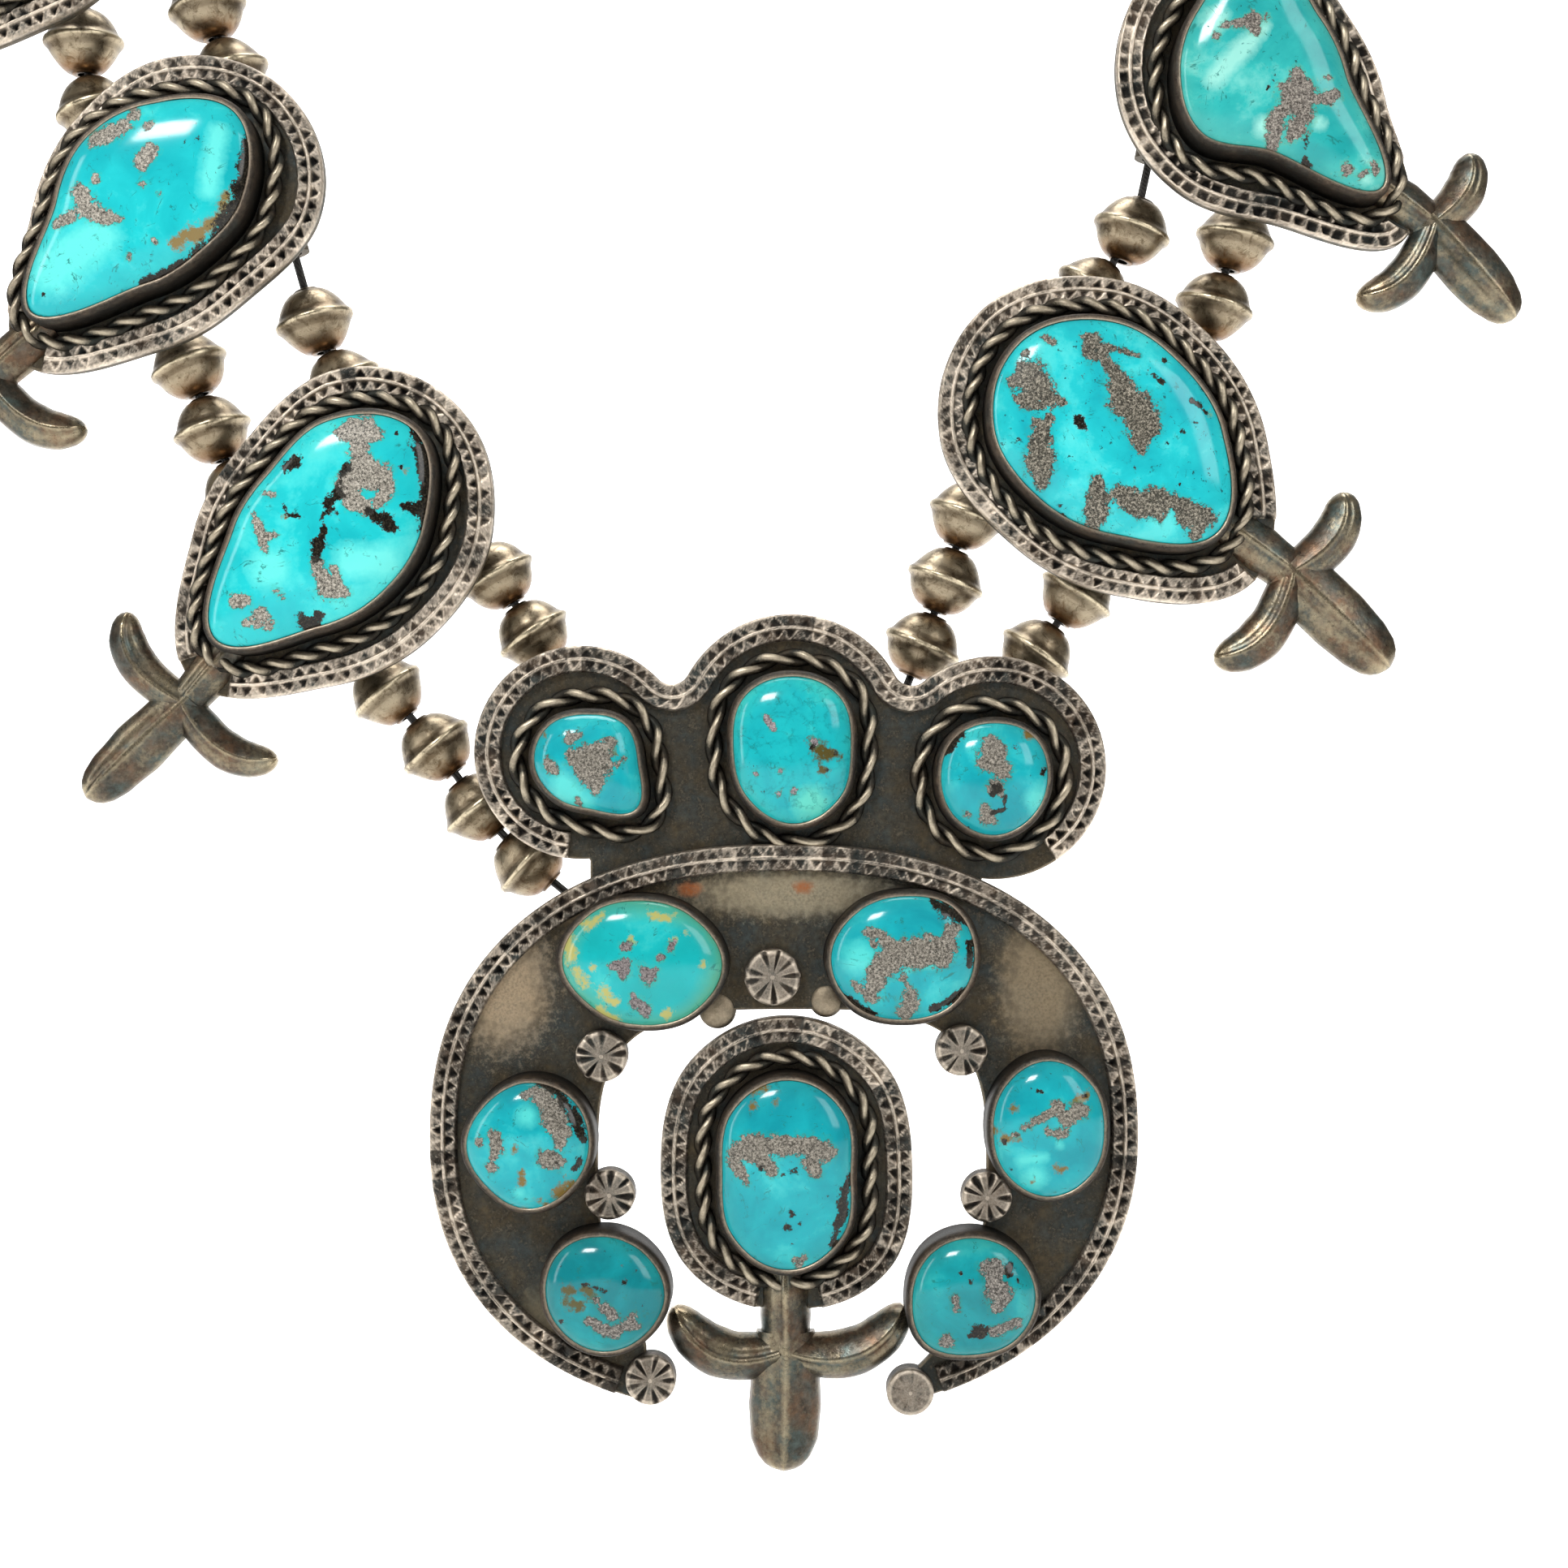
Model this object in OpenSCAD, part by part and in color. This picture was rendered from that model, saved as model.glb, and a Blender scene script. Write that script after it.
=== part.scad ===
// Squash blossom necklace, held up in one upright plane with its front towards -Y.
// The origin is under the clasp, where the necklace rests on the back of the neck.
// Outlines are drawn face on: x to the right, y up and z towards the viewer, and then stood upright.

/* [Beads] */
// Radius of a bead's round body
bead_r = 4.4; // [4.2:0.05:4.6]
// Length of a bead along its string
bead_len = 8.2; // [8:0.05:8.4]
// Radius of the flared seam round a bead's middle
seam_r = 5; // [4.8:0.05:5.1]
// Thickness of the seam's edge
seam_t = 0.4; // [0.3:0.05:0.6]
// Radius of the collar round each of a bead's holes
collar_r = 1.6; // [1.4:0.05:1.8]
// Radius of the hole through a bead, a hanger and the clasp
hole_r = 0.9; // [0.8:0.05:1.1]
// Least gap left between two beads
bead_gap = 0.5; // [0.45:0.05:0.6]
// Radius of the thread
thread_r = 0.5; // [0.3:0.05:0.5]

/* [Silver] */
// Thickness of the sheet that a setting is built on
sheet_t = 1.4; // [1:0.1:2]
// Width of the stamped band along the edge of a plate
band_w = 3.3; // [2.6:0.1:3.6]
// Height of the stamped band over its plate
band_h = 1; // [0.6:0.1:1.4]
// Width of the raised line between a band's two rows of stamps
ridge_w = 0.5; // [0.3:0.1:0.8]
// Height of that raised line over the band
ridge_h = 0.25; // [0.1:0.05:0.4]
// Radius of a twisted-wire ring
rope_r = 1.1; // [0.8:0.05:1.2]
// Distance from a stone's edge to the middle of its twisted-wire ring
rope_out = 2.3; // [2.1:0.1:2.8]
// Height of a bezel over its plate
bezel_h = 4.9; // [4:0.1:6]
// Thickness of a bezel's wall
bezel_t = 0.5; // [0.4:0.05:0.7]
// How far a bezel's lip leans in over its stone
lip_over = 0.3; // [0.2:0.05:0.35]
// Height of a bezel's lip
lip_t = 0.35; // [0.3:0.05:0.5]
// Outer radius of a hanger on the back of a setting
hanger_r = 1.9; // [1.7:0.1:2.4]
// Length of a hanger along its string
hanger_len = 7; // [6:0.5:8]
// Gap between a plate's back and the beads behind it
plate_gap = 0.3; // [0.2:0.1:1]

/* [Stones] */
// Height of a stone's dome over its girdle
dome_h = 3; // [2:0.1:4]
// Gap between a stone and its setting
stone_gap = 0.12; // [0.1:0.02:0.2]

/* [Petals] */
// Height of a petal from its flat back to its ridge
petal_h = 3.2; // [2.4:0.1:4]

/* [Naja] */
// Half width of the crescent
crescent_w = 43.6; // [43:0.1:44.2]
// Height of the crescent over its middle
crescent_up = 35.9; // [35.5:0.1:36.5]
// Depth of the crescent under its middle
crescent_down = 34.6; // [34.4:0.1:35.4]
// Half width of the space inside the crescent, as a share of the crescent's own
hollow_share = 0.55; // [0.54:0.005:0.56]
// Radius of a grooved button
button_r = 3.3; // [2.8:0.1:3.6]
// Height of a grooved button over its plate
button_h = 1.8; // [1.4:0.1:2.4]
// Length of the petal under the pendant
drop_len = 16; // [13:0.5:18]
// Width of that petal
drop_w = 9; // [7:0.5:10]

/* [Clasp] */
// Radius of each barrel of the clasp
clasp_r = 3.2; // [2.6:0.1:4]
// Length of the clasp
clasp_len = 18; // [14:1:24]
// Distance between the two strings at the clasp
string_gap = 12.8; // [11.5:0.1:14]

/* [Hidden] */
stone_sides = 26;
plate_sides = 40;
round = 48;
// How far two soldered pieces run into each other
overlap = 0.2;

// Heights in front of the strings, which run at zero
plate_back = seam_r + plate_gap;
plate_front = plate_back + sheet_t;
crescent_lift = sheet_t - overlap;
crescent_back = plate_back + crescent_lift;

// Where the naja's middle hangs
naja = [12, -309.9];

// The naja's tables were drawn for this half width, and their places spread with the crescent's
drawn_w = 43.6;
spread = crescent_w / drawn_w;
hollow_w = hollow_share * crescent_w;
function spread_out(points) = [for (p = points) [spread * p.x, p.y]];

// Stones and plates of the four blossoms that are seen: a size, and the reach of the outline from its
// centre in the eight compass directions, as shares of that size
// [size, E, NE, N, NW, W, SW, S, SE]
shape_stones = [
    [12.4, 1.02, 1.34, 1.01, 0.74, 0.86, 1.52, 0.99, 0.90],
    [12.4, 0.98, 1.26, 1.02, 0.88, 0.90, 1.57, 0.81, 0.72],
    [13.4, 1.01, 0.88, 1.01, 1.16, 1.08, 0.91, 0.96, 1.35],
    [11.9, 0.88, 0.83, 1.33, 0.94, 0.86, 0.89, 0.79, 1.60]
];
shape_plates = [
    [19, 1.05, 1.17, 1.06, 0.81, 0.89, 1.30, 1.00, 0.94],
    [19, 1.00, 1.15, 1.04, 0.86, 0.86, 1.27, 0.82, 0.74],
    [19.5, 0.99, 0.91, 1.02, 1.17, 1.08, 0.91, 0.98, 1.27],
    [18, 0.83, 0.81, 1.30, 1.17, 1.00, 0.86, 0.80, 1.28]
];
// [stone's offset in x and y, distance and angle of the cross from the plate's centre, angle and length
// of the long petal, of the first and of the second curved petal, width of the long and curved petals]
shape_petals = [
    [-0.4, 0.2, 27.8, 229, 224, 17, 122, 13.2, 329, 13.3, 5.2, 3.5],
    [-1.1, 0.7, 29.5, 222, 224, 17, 122, 13.2, 333, 13.3, 6.0, 4.4],
    [-0.4, 0.5, 27.8, -36, -44, 17, 58, 11.7, 228, 14.2, 7.0, 4.8],
    [-1.1, 2.0, 25.9, -36, -48, 15.5, 64, 9.8, 224, 12.9, 6.5, 4.4]
];
// [name, x, y, shape, mirrored, turn]
blossoms = [
    ["left_1", -44.1, -235.5, 0, false, 0],
    ["left_2", -64.6, -196.5, 1, false, 0],
    ["left_3", -80.0, -156.3, 1, false, 6],
    ["left_4", -78.5, -109.0, 2, true, -12],
    ["right_1", 52.4, -224.0, 2, false, 0],
    ["right_2", 71.4, -182.0, 3, false, 0],
    ["right_3", 79.0, -130.5, 1, true, -8],
    ["right_4", 74.0, -86.0, 0, true, 10]
];
// Stones of the naja, placed from its middle
// [name, x, y, size, E, NE, N, NW, W, SW, S, SE]
naja_stones = [
    ["crown_left", -24.1, 46.0, 6.6, 0.98, 1.01, 0.90, 0.98, 0.98, 0.89, 0.88, 1.30],
    ["crown_middle", 1.0, 47.5, 7.4, 0.99, 1.18, 1.23, 1.19, 0.99, 1.10, 1.25, 1.14],
    ["crown_right", 25.6, 43.9, 6.8, 0.98, 1.06, 1.03, 1.04, 0.98, 1.00, 1.03, 0.98],
    ["upper_left", -17.3, 21.6, 9.9, 1.01, 0.85, 0.78, 0.88, 0.99, 0.82, 0.78, 0.89],
    ["upper_right", 14.4, 22.2, 8.9, 1.00, 0.99, 0.86, 0.90, 1.00, 0.94, 0.86, 0.94],
    ["side_left", -31.1, -0.5, 7.6, 1.00, 1.04, 1.02, 0.95, 1.00, 0.95, 1.04, 0.99],
    ["side_right", 32.1, 1.5, 6.9, 1.00, 1.10, 1.22, 1.09, 1.00, 1.11, 1.22, 1.12],
    ["lower_left", -21.7, -18.6, 7.4, 1.00, 0.95, 0.97, 1.04, 1.00, 0.95, 0.96, 0.95],
    ["lower_right", 23.0, -18.8, 7.6, 1.01, 0.96, 0.95, 0.98, 1.00, 1.10, 0.96, 0.99],
    ["pendant", 0.5, -4.1, 8.0, 0.95, 1.25, 1.46, 1.23, 1.01, 1.16, 1.47, 1.09]
];
first_crescent_stone = 3;
pendant_stone = 9;
// The pendant's plate: [x, y, size, E, NE, N, NW, W, SW, S, SE]
pendant_plate = [0.3, -3.4, 15.5, 1.00, 1.11, 1.17, 1.11, 1.00, 1.14, 1.17, 1.17];
// The crown's three lobes: [x, y, radius]
lobes = [[-25.1, 47.2, 13.2], [0.9, 49.6, 14.7], [26.0, 45.3, 13.8]];
lobe_fillet = 2.3;
// How far a fillet's circle runs into the lobes beside it, so that their outlines cross and don't just touch
fillet_cross = 0.05;
// Grooved buttons: [x, y, share of the button's radius]
buttons = [
    [-1.4, 19.6, 1.06], [-22.4, 9.9, 0.97], [21.8, 10.6, 0.96], [-21.4, -7.1, 0.94],
    [24.9, -7.4, 0.94], [-16.4, -29.8, 0.94], [15.5, -31.3, 0.88]
];
button_grooves = 9;
// Small supports between the crescent and the pendant: [x, y, radius]
supports = [[-8.2, 15.4, 2.3], [5.2, 16.6, 2.1]];
// The pendant's stem: how far it rises above the cross, and its width
stem_rise = 9.5;
stem_w = 6.4;
// The two arms of the pendant's cross: [x and y of the start, of the bend and of the end, width,
// number of the stone that the tip leans on and moves with]
cross = [0.2, -26.2];
cross_arms = [
    [[-0.5, -26.6], [-9.5, -29.8], [-13.6, -21.4], 6.2, 7],
    [[0.9, -26.6], [10.6, -29.4], [14.8, -21.2], 6.0, 8]
];

// Points that each string passes, from the naja to the start of the plain arch, chosen by eye
routes = [
    [[-13, -258], [-20, -247.2], [-24.6, -239.8], [-33, -228], [-43, -217], [-47.2, -208.7], [-49.7, -200.4],
     [-53.6, -188], [-61.2, -167.8], [-64.6, -148]],
    [[-6.8, -286.6], [-13, -282.4], [-20.5, -276.3], [-26.5, -269.8], [-32.3, -261.6], [-38.5, -254.6],
     [-50, -241], [-56.4, -230.5], [-60.4, -221.8], [-63.2, -214], [-70, -197], [-75.8, -179], [-77.2, -164.2],
     [-78, -146]],
    [[22.8, -265.6], [25.6, -259], [29.6, -249], [32.5, -240.8], [35, -233.1], [40, -220], [47, -209],
     [53, -201.7], [56.1, -196.4], [57.9, -189.2], [61.2, -172], [63.6, -150]],
    [[34.8, -265], [38.4, -259], [44.3, -249.5], [48.9, -242.8], [56, -230], [62.5, -217], [66.6, -205.8],
     [69, -198.1], [73, -182], [76, -160], [77.6, -142]]
];
// Beads that show between two settings, from the naja up, one row a stretch
// [the lowest one's middle, the highest one's middle, steps between them]
seen_beads = [
    [[[-19.7, -247.2], [-24.3, -240.3], 1], [[-43.1, -215.3], [-49.8, -199.8], 2],
     [[-61.8, -168.8], [-61.8, -168.8], 0]],
    [[[-20.4, -276.2], [-38.3, -255.1], 3], [[-60.4, -221.2], [-62.7, -213.6], 1],
     [[-76.3, -172.6], [-76.3, -172.6], 0]],
    [[[29.6, -249.1], [36, -233.1], 2], [[51.2, -204.2], [57.9, -187.3], 2]],
    [[[44.5, -250.2], [49.1, -242.5], 1], [[66.6, -206], [68.6, -197.5], 1]]
];
// The hidden stretch is half an oval: [half width, height of its widest place, height of its top]
arches = [[65.6, -122, clasp_r], [78.4, -122, clasp_r + string_gap]];
arch_points = 9;
route_steps = 8;
// The one string whose end is held behind the crescent and not behind the crown
outer_left = 1;

stone_node_names = [for (s = naja_stones) str(s[0], "_stone")];
blossom_setting_names = [for (b = blossoms) str("blossom_", b[0], "_setting")];
blossom_stone_names = [for (b = blossoms) str("blossom_", b[0], "_stone")];
string_names = ["beads_inner_left", "beads_outer_left", "beads_inner_right", "beads_outer_right"];
thread_names = ["thread_inner_left", "thread_outer_left", "thread_inner_right", "thread_outer_right"];

// A smooth value through four even steps of a table
function blend(p0, p1, p2, p3, t) =
    0.5 * (2 * p1 + (p2 - p0) * t + (2 * p0 - 5 * p1 + 4 * p2 - p3) * t * t
           + (3 * p1 - p0 - 3 * p2 + p3) * t * t * t);

// Reach of an outline in one direction, smoothed between its eight shares
function reach(shares, angle) =
    let (step = angle / 45, i = floor(step))
    blend(shares[(i + 7) % 8], shares[i % 8], shares[(i + 1) % 8], shares[(i + 2) % 8], step - i);
function mirrored(shares) = [for (i = [0:7]) shares[(12 - i) % 8]];
function shares_of(row, first) = [for (i = [0:7]) row[first + i]];
function outline(size, shares, sides) =
    [for (k = [0:sides - 1]) let (a = 360 * k / sides) size * reach(shares, a) * [cos(a), sin(a)]];

// Outward direction at a point of a closed outline
function outward(points, i) =
    let (n = len(points), d = points[(i + 1) % n] - points[(i + n - 1) % n])
    [d.y, -d.x] / norm(d);
function grown(points, by) = [for (i = [0:len(points) - 1]) points[i] + by * outward(points, i)];
function scaled(points, by) = [for (p = points) p * by];
function raised(points, z) = [for (p = points) [p.x, p.y, z]];

// A rounded-square oval: each quarter, counted from the upper right one, has its own power
function oval(w, up, down, powers, sides) =
    [for (k = [0:sides - 1]) let (a = 360 * k / sides, c = cos(a), s = sin(a), e = 2 / powers[floor(a / 90)])
        [w * sign(c) * pow(abs(c), e), (s > 0 ? up : down) * sign(s) * pow(abs(s), e)]];

// One string: its points, evenly sampled, with the length from its naja end
function side(i) = i < 2 ? -1 : 1;
function arch(i) = arches[i % 2];
function arch_route(i) =
    let (a = arch(i), foot = clasp_len / 2)
    [for (k = [1:arch_points]) let (t = 90 * k / arch_points)
        [side(i) * (foot + (a[0] - foot) * cos(t)), a[1] + (a[2] - a[1]) * sin(t)]];
function route(i) = concat(routes[i], arch_route(i));
function smooth(p) =
    let (last = len(p) - 1)
    concat([for (i = [0:last - 1], k = [0:route_steps - 1])
        blend(p[max(i - 1, 0)], p[i], p[i + 1], p[min(i + 2, last)], k / route_steps)], [p[last]]);
function run_lengths(p) =
    [for (i = 0, s = 0; i < len(p); s = s + (i + 1 < len(p) ? norm(p[i + 1] - p[i]) : 0), i = i + 1) s];
function measured(p) =
    let (s = run_lengths(p), n = len(p) - 1)
    [s[n], [for (i = [0:n]) [s[i], p[i].x]], [for (i = [0:n]) [s[i], p[i].y]]];
strings = [for (i = [0:3]) measured(smooth(route(i)))];
function place(i, s) = [lookup(s, strings[i][1]), lookup(s, strings[i][2])];
function heading(i, s) =
    let (d = place(i, s + bead_len / 2) - place(i, s - bead_len / 2)) atan2(d.y, d.x);

// Length along a string to the place nearest a point
nearest_step = 0.5;
function nearest(i, point) =
    let (marks = [for (s = [0:nearest_step:strings[i][0]]) s], d = [for (s = marks) norm(place(i, s) - point)])
    marks[search(min(d), d)[0]];

// Where the hangers are wanted along a string: the naja's, then each blossom's
function blossom_strings(b) = b[1] < 0 ? [0, 1] : [2, 3];
stops = [for (i = [0:3]) concat([hanger_len / 2],
    [for (b = blossoms) if (blossom_strings(b)[i % 2] == i) nearest(i, [b[1], b[2]])])];

// Middles of the beads between one hanger and the next, in step with the beads that show
function bead_run(i, j) =
    let (ends = hanger_len / 2 + bead_gap + bead_len / 2, least = bead_len + bead_gap, low = stops[i][j] + ends,
         high = j + 1 < len(stops[i]) ? stops[i][j + 1] - ends : strings[i][0] - bead_gap - bead_len / 2,
         q = seen_beads[i][j])
    q == undef ? let (n = floor((high - low) / least)) [for (k = [0:n]) low + (high - low) * k / n] :
    let (a = nearest(i, q[0]), b = nearest(i, q[1]), step = max(least, (b - a) / max(q[2], 1)),
         start = (a + b - q[2] * step) / 2)
    [for (k = [-floor((start - low) / step):floor((high - start) / step)]) start + k * step];
runs = [for (i = [0:3]) [for (j = [0:len(stops[i]) - 1]) bead_run(i, j)]];

// A hanger's middle: halfway between the beads on either side of it
function hanger_at(i, j) =
    j == 0 ? stops[i][0] : (runs[i][j - 1][len(runs[i][j - 1]) - 1] + runs[i][j][0]) / 2;

// A closed skin over rings of points, each ring with as many points
module skin(rings, loop = false) {
    n = len(rings[0]);
    m = len(rings);
    bands = [for (j = [0:m - (loop ? 1 : 2)], i = [0:n - 1])
        let (a = j * n + i, b = j * n + (i + 1) % n, c = (j + 1) % m * n + (i + 1) % n, d = (j + 1) % m * n + i)
        each [[a, c, b], [a, d, c]]];
    ends = loop ? [] : [[for (i = [0:n - 1]) i], [for (i = [n - 1:-1:0]) (m - 1) * n + i]];
    polyhedron(points = [for (r = rings) each r], faces = concat(bands, ends));
}

// A flat piece with this outline, from one height to another
module slab(points, low, high) {
    translate([0, 0, low]) linear_extrude(high - low) polygon(points);
}

// A flat ring between two outlines
module hoop(outer, inner, low, high) {
    difference() {
        slab(outer, low, high);
        slab(inner, low - 1, high + 1);
    }
}

// A stone's dome: [share of the outline, share of the dome's height]
dome_rings = [[1, 0], [0.94, 0.36], [0.82, 0.64], [0.62, 0.86], [0.34, 0.98]];
lip_rise = 0.6;
module stone(points, base) {
    girdle = base + bezel_h - lip_t - lip_rise;
    rings = concat([raised(points, base + stone_gap)],
                   [for (d = dome_rings) raised(scaled(points, d[0]), girdle + d[1] * dome_h)]);
    skin(rings);
}

// A tall plain bezel whose lip leans in over the stone
module bezel(points, base) {
    outer = grown(points, stone_gap + bezel_t);
    hoop(outer, grown(points, stone_gap), base - overlap, base + bezel_h);
    hoop(outer, grown(points, -lip_over), base + bezel_h - lip_t, base + bezel_h);
}

// A ring of twisted wire round a bezel
module rope_ring(points, base) {
    path = grown(points, rope_out);
    n = len(path);
    rings = [for (i = [0:n - 1]) let (o = outward(path, i))
        [for (k = [0:5]) let (a = 60 * k, p = path[i] + rope_r * cos(a) * o)
            [p.x, p.y, base + rope_r * (0.8 + sin(a))]]];
    skin([for (i = [n - 1:-1:0]) rings[i]], loop = true);
}

// A stamped band along a plate's edge, with its raised line
module band(outer, inner, line_out, line_in, base) {
    hoop(outer, inner, base - overlap, base + band_h);
    hoop(line_out, line_in, base, base + band_h + ridge_h);
}
module band_round(points, base) {
    line_out = grown(points, (ridge_w - band_w) / 2);
    band(points, grown(points, -band_w), line_out, grown(line_out, -ridge_w), base);
}

// A petal's section and the shares of its width and height along its length
petal_section = [[-1, 0.3], [-0.6, 0.78], [0, 1], [0.6, 0.78], [1, 0.3], [0, 0]];
// [share of the length, share of the width, share of the height]
petal_run = [[0, 0.75, 0.9], [0.22, 0.94, 1], [0.5, 1, 1], [0.75, 0.84, 0.86], [0.92, 0.52, 0.6],
             [1, 0.14, 0.3]];
module petal(start, bend, end, width, base, height = petal_h) {
    rings = [for (r = petal_run)
        let (t = r[0], p = (1 - t) * (1 - t) * start + 2 * t * (1 - t) * bend + t * t * end,
             d = (1 - t) * (bend - start) + t * (end - bend), across = [d.y, -d.x] / norm(d) * r[1] * width / 2)
        [for (q = petal_section) let (e = p + q[0] * across) [e.x, e.y, base + q[1] * r[2] * height]]];
    skin(rings);
}

// A drilled hanger behind a plate, lying along its string, with the block that holds it
hanger_block = [4, 2.4];
module hanger(i, s, back) {
    at = place(i, s);
    low = hole_r + 0.3;
    translate([at.x, at.y, 0]) rotate([0, 0, heading(i, s)]) {
        difference() {
            rotate([0, 90, 0]) cylinder(h = hanger_len, r = hanger_r, center = true, $fn = round);
            rotate([0, 90, 0]) cylinder(h = hanger_len + 2, r = hole_r, center = true, $fn = round);
        }
        translate([-hanger_block.x / 2, -hanger_block.y / 2, low])
            cube([hanger_block.x, hanger_block.y, back + overlap - low]);
    }
}

function polar(length, angle) = length * [cos(angle), sin(angle)];

// A blossom's outlines in its own frame
function turned_shares(b, row) = b[4] ? mirrored(shares_of(row, 1)) : shares_of(row, 1);
function blossom_outline(b, rows, sides) = outline(rows[b[3]][0], turned_shares(b, rows[b[3]]), sides);
function stone_offset(b) = let (p = shape_petals[b[3]]) [b[4] ? -p[0] : p[0], p[1]];

module in_blossom(b) {
    translate([b[1], b[2], 0]) rotate([0, 0, b[5]]) children();
}

// The stem, the long petal and the two curved petals that hook away from it
stem_in = 10;
stem_more = 1.6;
hook = 30;
module blossom_petals(b) {
    p = shape_petals[b[3]];
    middle = polar(p[2], p[3]);
    bend = p[4] > 0 ? hook : -hook;
    stem_start = polar(p[2] - stem_in, p[3]);
    petal(stem_start, (stem_start + middle) / 2, middle + polar(2, p[3]), p[11] + stem_more, plate_back);
    petal(middle - polar(1, p[4]), middle + polar(p[5] / 2, p[4]), middle + polar(p[5], p[4]), p[10],
          plate_back);
    for (a = [[p[6], p[7], bend], [p[8], p[9], -bend]])
        petal(middle, middle + polar(0.75 * a[1], a[0] + a[2]), middle + polar(a[1], a[0]), p[11],
              plate_back);
}

module blossom_setting(b) {
    plate = blossom_outline(b, shape_plates, plate_sides);
    stone_edge = blossom_outline(b, shape_stones, stone_sides);
    p = shape_petals[b[3]];
    stem_w = p[11] + stem_more + 0.4;
    at = stone_offset(b);
    in_blossom(b) {
        slab(plate, plate_back, plate_front);
        difference() {
            band_round(plate, plate_front);
            rotate([0, 0, b[4] ? 180 - p[3] : p[3]]) translate([stem_in, -stem_w / 2, plate_front])
                cube([2 * stem_in, stem_w, petal_h]);
        }
        translate([at.x, at.y, 0]) {
            bezel(stone_edge, plate_front);
            rope_ring(stone_edge, plate_front);
        }
        mirror([b[4] ? 1 : 0, 0, 0]) blossom_petals(b);
    }
    for (i = blossom_strings(b)) let (j = search(nearest(i, [b[1], b[2]]), stops[i])[0])
        hanger(i, hanger_at(i, j), plate_back);
}

module blossom_stone(b) {
    at = stone_offset(b);
    in_blossom(b) translate([at.x, at.y, 0])
        stone(blossom_outline(b, shape_stones, stone_sides), plate_front);
}

// The crown's outline, drawn in by an inset: three round lobes, filled and hollowed between them
function circle_meet(a, b, ra, rb) =
    let (d = norm(b - a), along = (d * d + ra * ra - rb * rb) / (2 * d), up = sqrt(ra * ra - along * along),
         u = (b - a) / d)
    a + along * u + up * [-u.y, u.x];
module lobe(l, inset) {
    translate([spread * l.x, l.y]) circle(r = l[2] - inset, $fn = round * 2);
}
module crown_lobes(inset) {
    for (l = lobes) lobe(l, inset);
    for (k = [0:1]) {
        a = [spread * lobes[k].x, lobes[k].y];
        b = [spread * lobes[k + 1].x, lobes[k + 1].y];
        f = circle_meet(a, b, lobes[k][2] + lobe_fillet, lobes[k + 1][2] + lobe_fillet);
        difference() {
            polygon([a, b, f]);
            translate(f) circle(r = lobe_fillet + inset + fillet_cross, $fn = round);
        }
    }
}
// The plain foot that the crescent overlaps, and the open lower side of the crown's band
crown_foot = [[-24, 28.5], [24.5, 28.5], [24.5, 50], [-24, 50]];
crown_mouth = [[-23.3, 20], [30.6, 20], [30.6, 50], [-23.3, 50]];
module crown_band_flat(from, to) {
    difference() {
        crown_lobes(from);
        crown_lobes(to);
        polygon(spread_out(crown_mouth));
    }
}
module crown(base) {
    translate([0, 0, base]) linear_extrude(sheet_t) {
        crown_lobes(0);
        polygon(spread_out(crown_foot));
    }
    top = base + sheet_t;
    middle = band_w / 2;
    translate([0, 0, top - overlap]) linear_extrude(band_h + overlap) crown_band_flat(0, band_w);
    translate([0, 0, top]) linear_extrude(band_h + ridge_h)
        crown_band_flat(middle - ridge_w / 2, middle + ridge_w / 2);
}

// The crescent: its hollow's middle in x and y, height and depth, and the open side between its two tips
crescent_powers = [2.3, 2.3, 2.3, 2.15];
hollow_powers = [3.4, 3.4, 2.3, 2.3];
oval_sides = 72;
hollow = [1, -4, 19.5, 30];
tip_gap = [-17, 16];
band_gap = [-20.2, 19];
module below(gap, low, high) {
    translate([spread * gap[0], -1.2 * crescent_down, low])
        cube([spread * (gap[1] - gap[0]), 0.7 * crescent_down, high - low]);
}
module crescent() {
    front = crescent_back + sheet_t;
    edge = oval(crescent_w, crescent_up, crescent_down, crescent_powers, oval_sides);
    inner = [for (p = oval(hollow_w, hollow[2], hollow[3], hollow_powers, oval_sides))
        p + [spread * hollow[0], hollow[1]]];
    difference() {
        hoop(edge, inner, crescent_back, front);
        below(tip_gap, crescent_back - 1, front + 1);
    }
    difference() {
        band_round(edge, front);
        below(band_gap, crescent_back - 1, front + 2 * band_h);
    }
}

// A button with wedge-shaped grooves: one groove's outline in shares of the button's radius
groove = [[0.3, -0.06], [0.85, -0.2], [0.85, 0.2], [0.3, 0.06]];
groove_depth = 0.5;
module button(b) {
    r = button_r * b[2];
    base = crescent_back + sheet_t;
    translate([spread * b.x, b.y, base - sheet_t])
        cylinder(h = sheet_t + overlap, r = r - overlap, $fn = round);
    translate([spread * b.x, b.y, base]) difference() {
        cylinder(h = button_h, r = r, $fn = round);
        for (k = [0:button_grooves - 1]) rotate([0, 0, 360 * k / button_grooves])
            translate([0, 0, button_h - groove_depth]) linear_extrude(2 * groove_depth)
                polygon([for (p = groove) r * p]);
    }
}

function naja_outline(row) = outline(row[3], shares_of(row, 4), stone_sides);
module at_stone(row) {
    translate([spread * row[1], row[2], 0]) children();
}
function stone_base(k) = k < first_crescent_stone ? plate_front : crescent_back + sheet_t;

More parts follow.
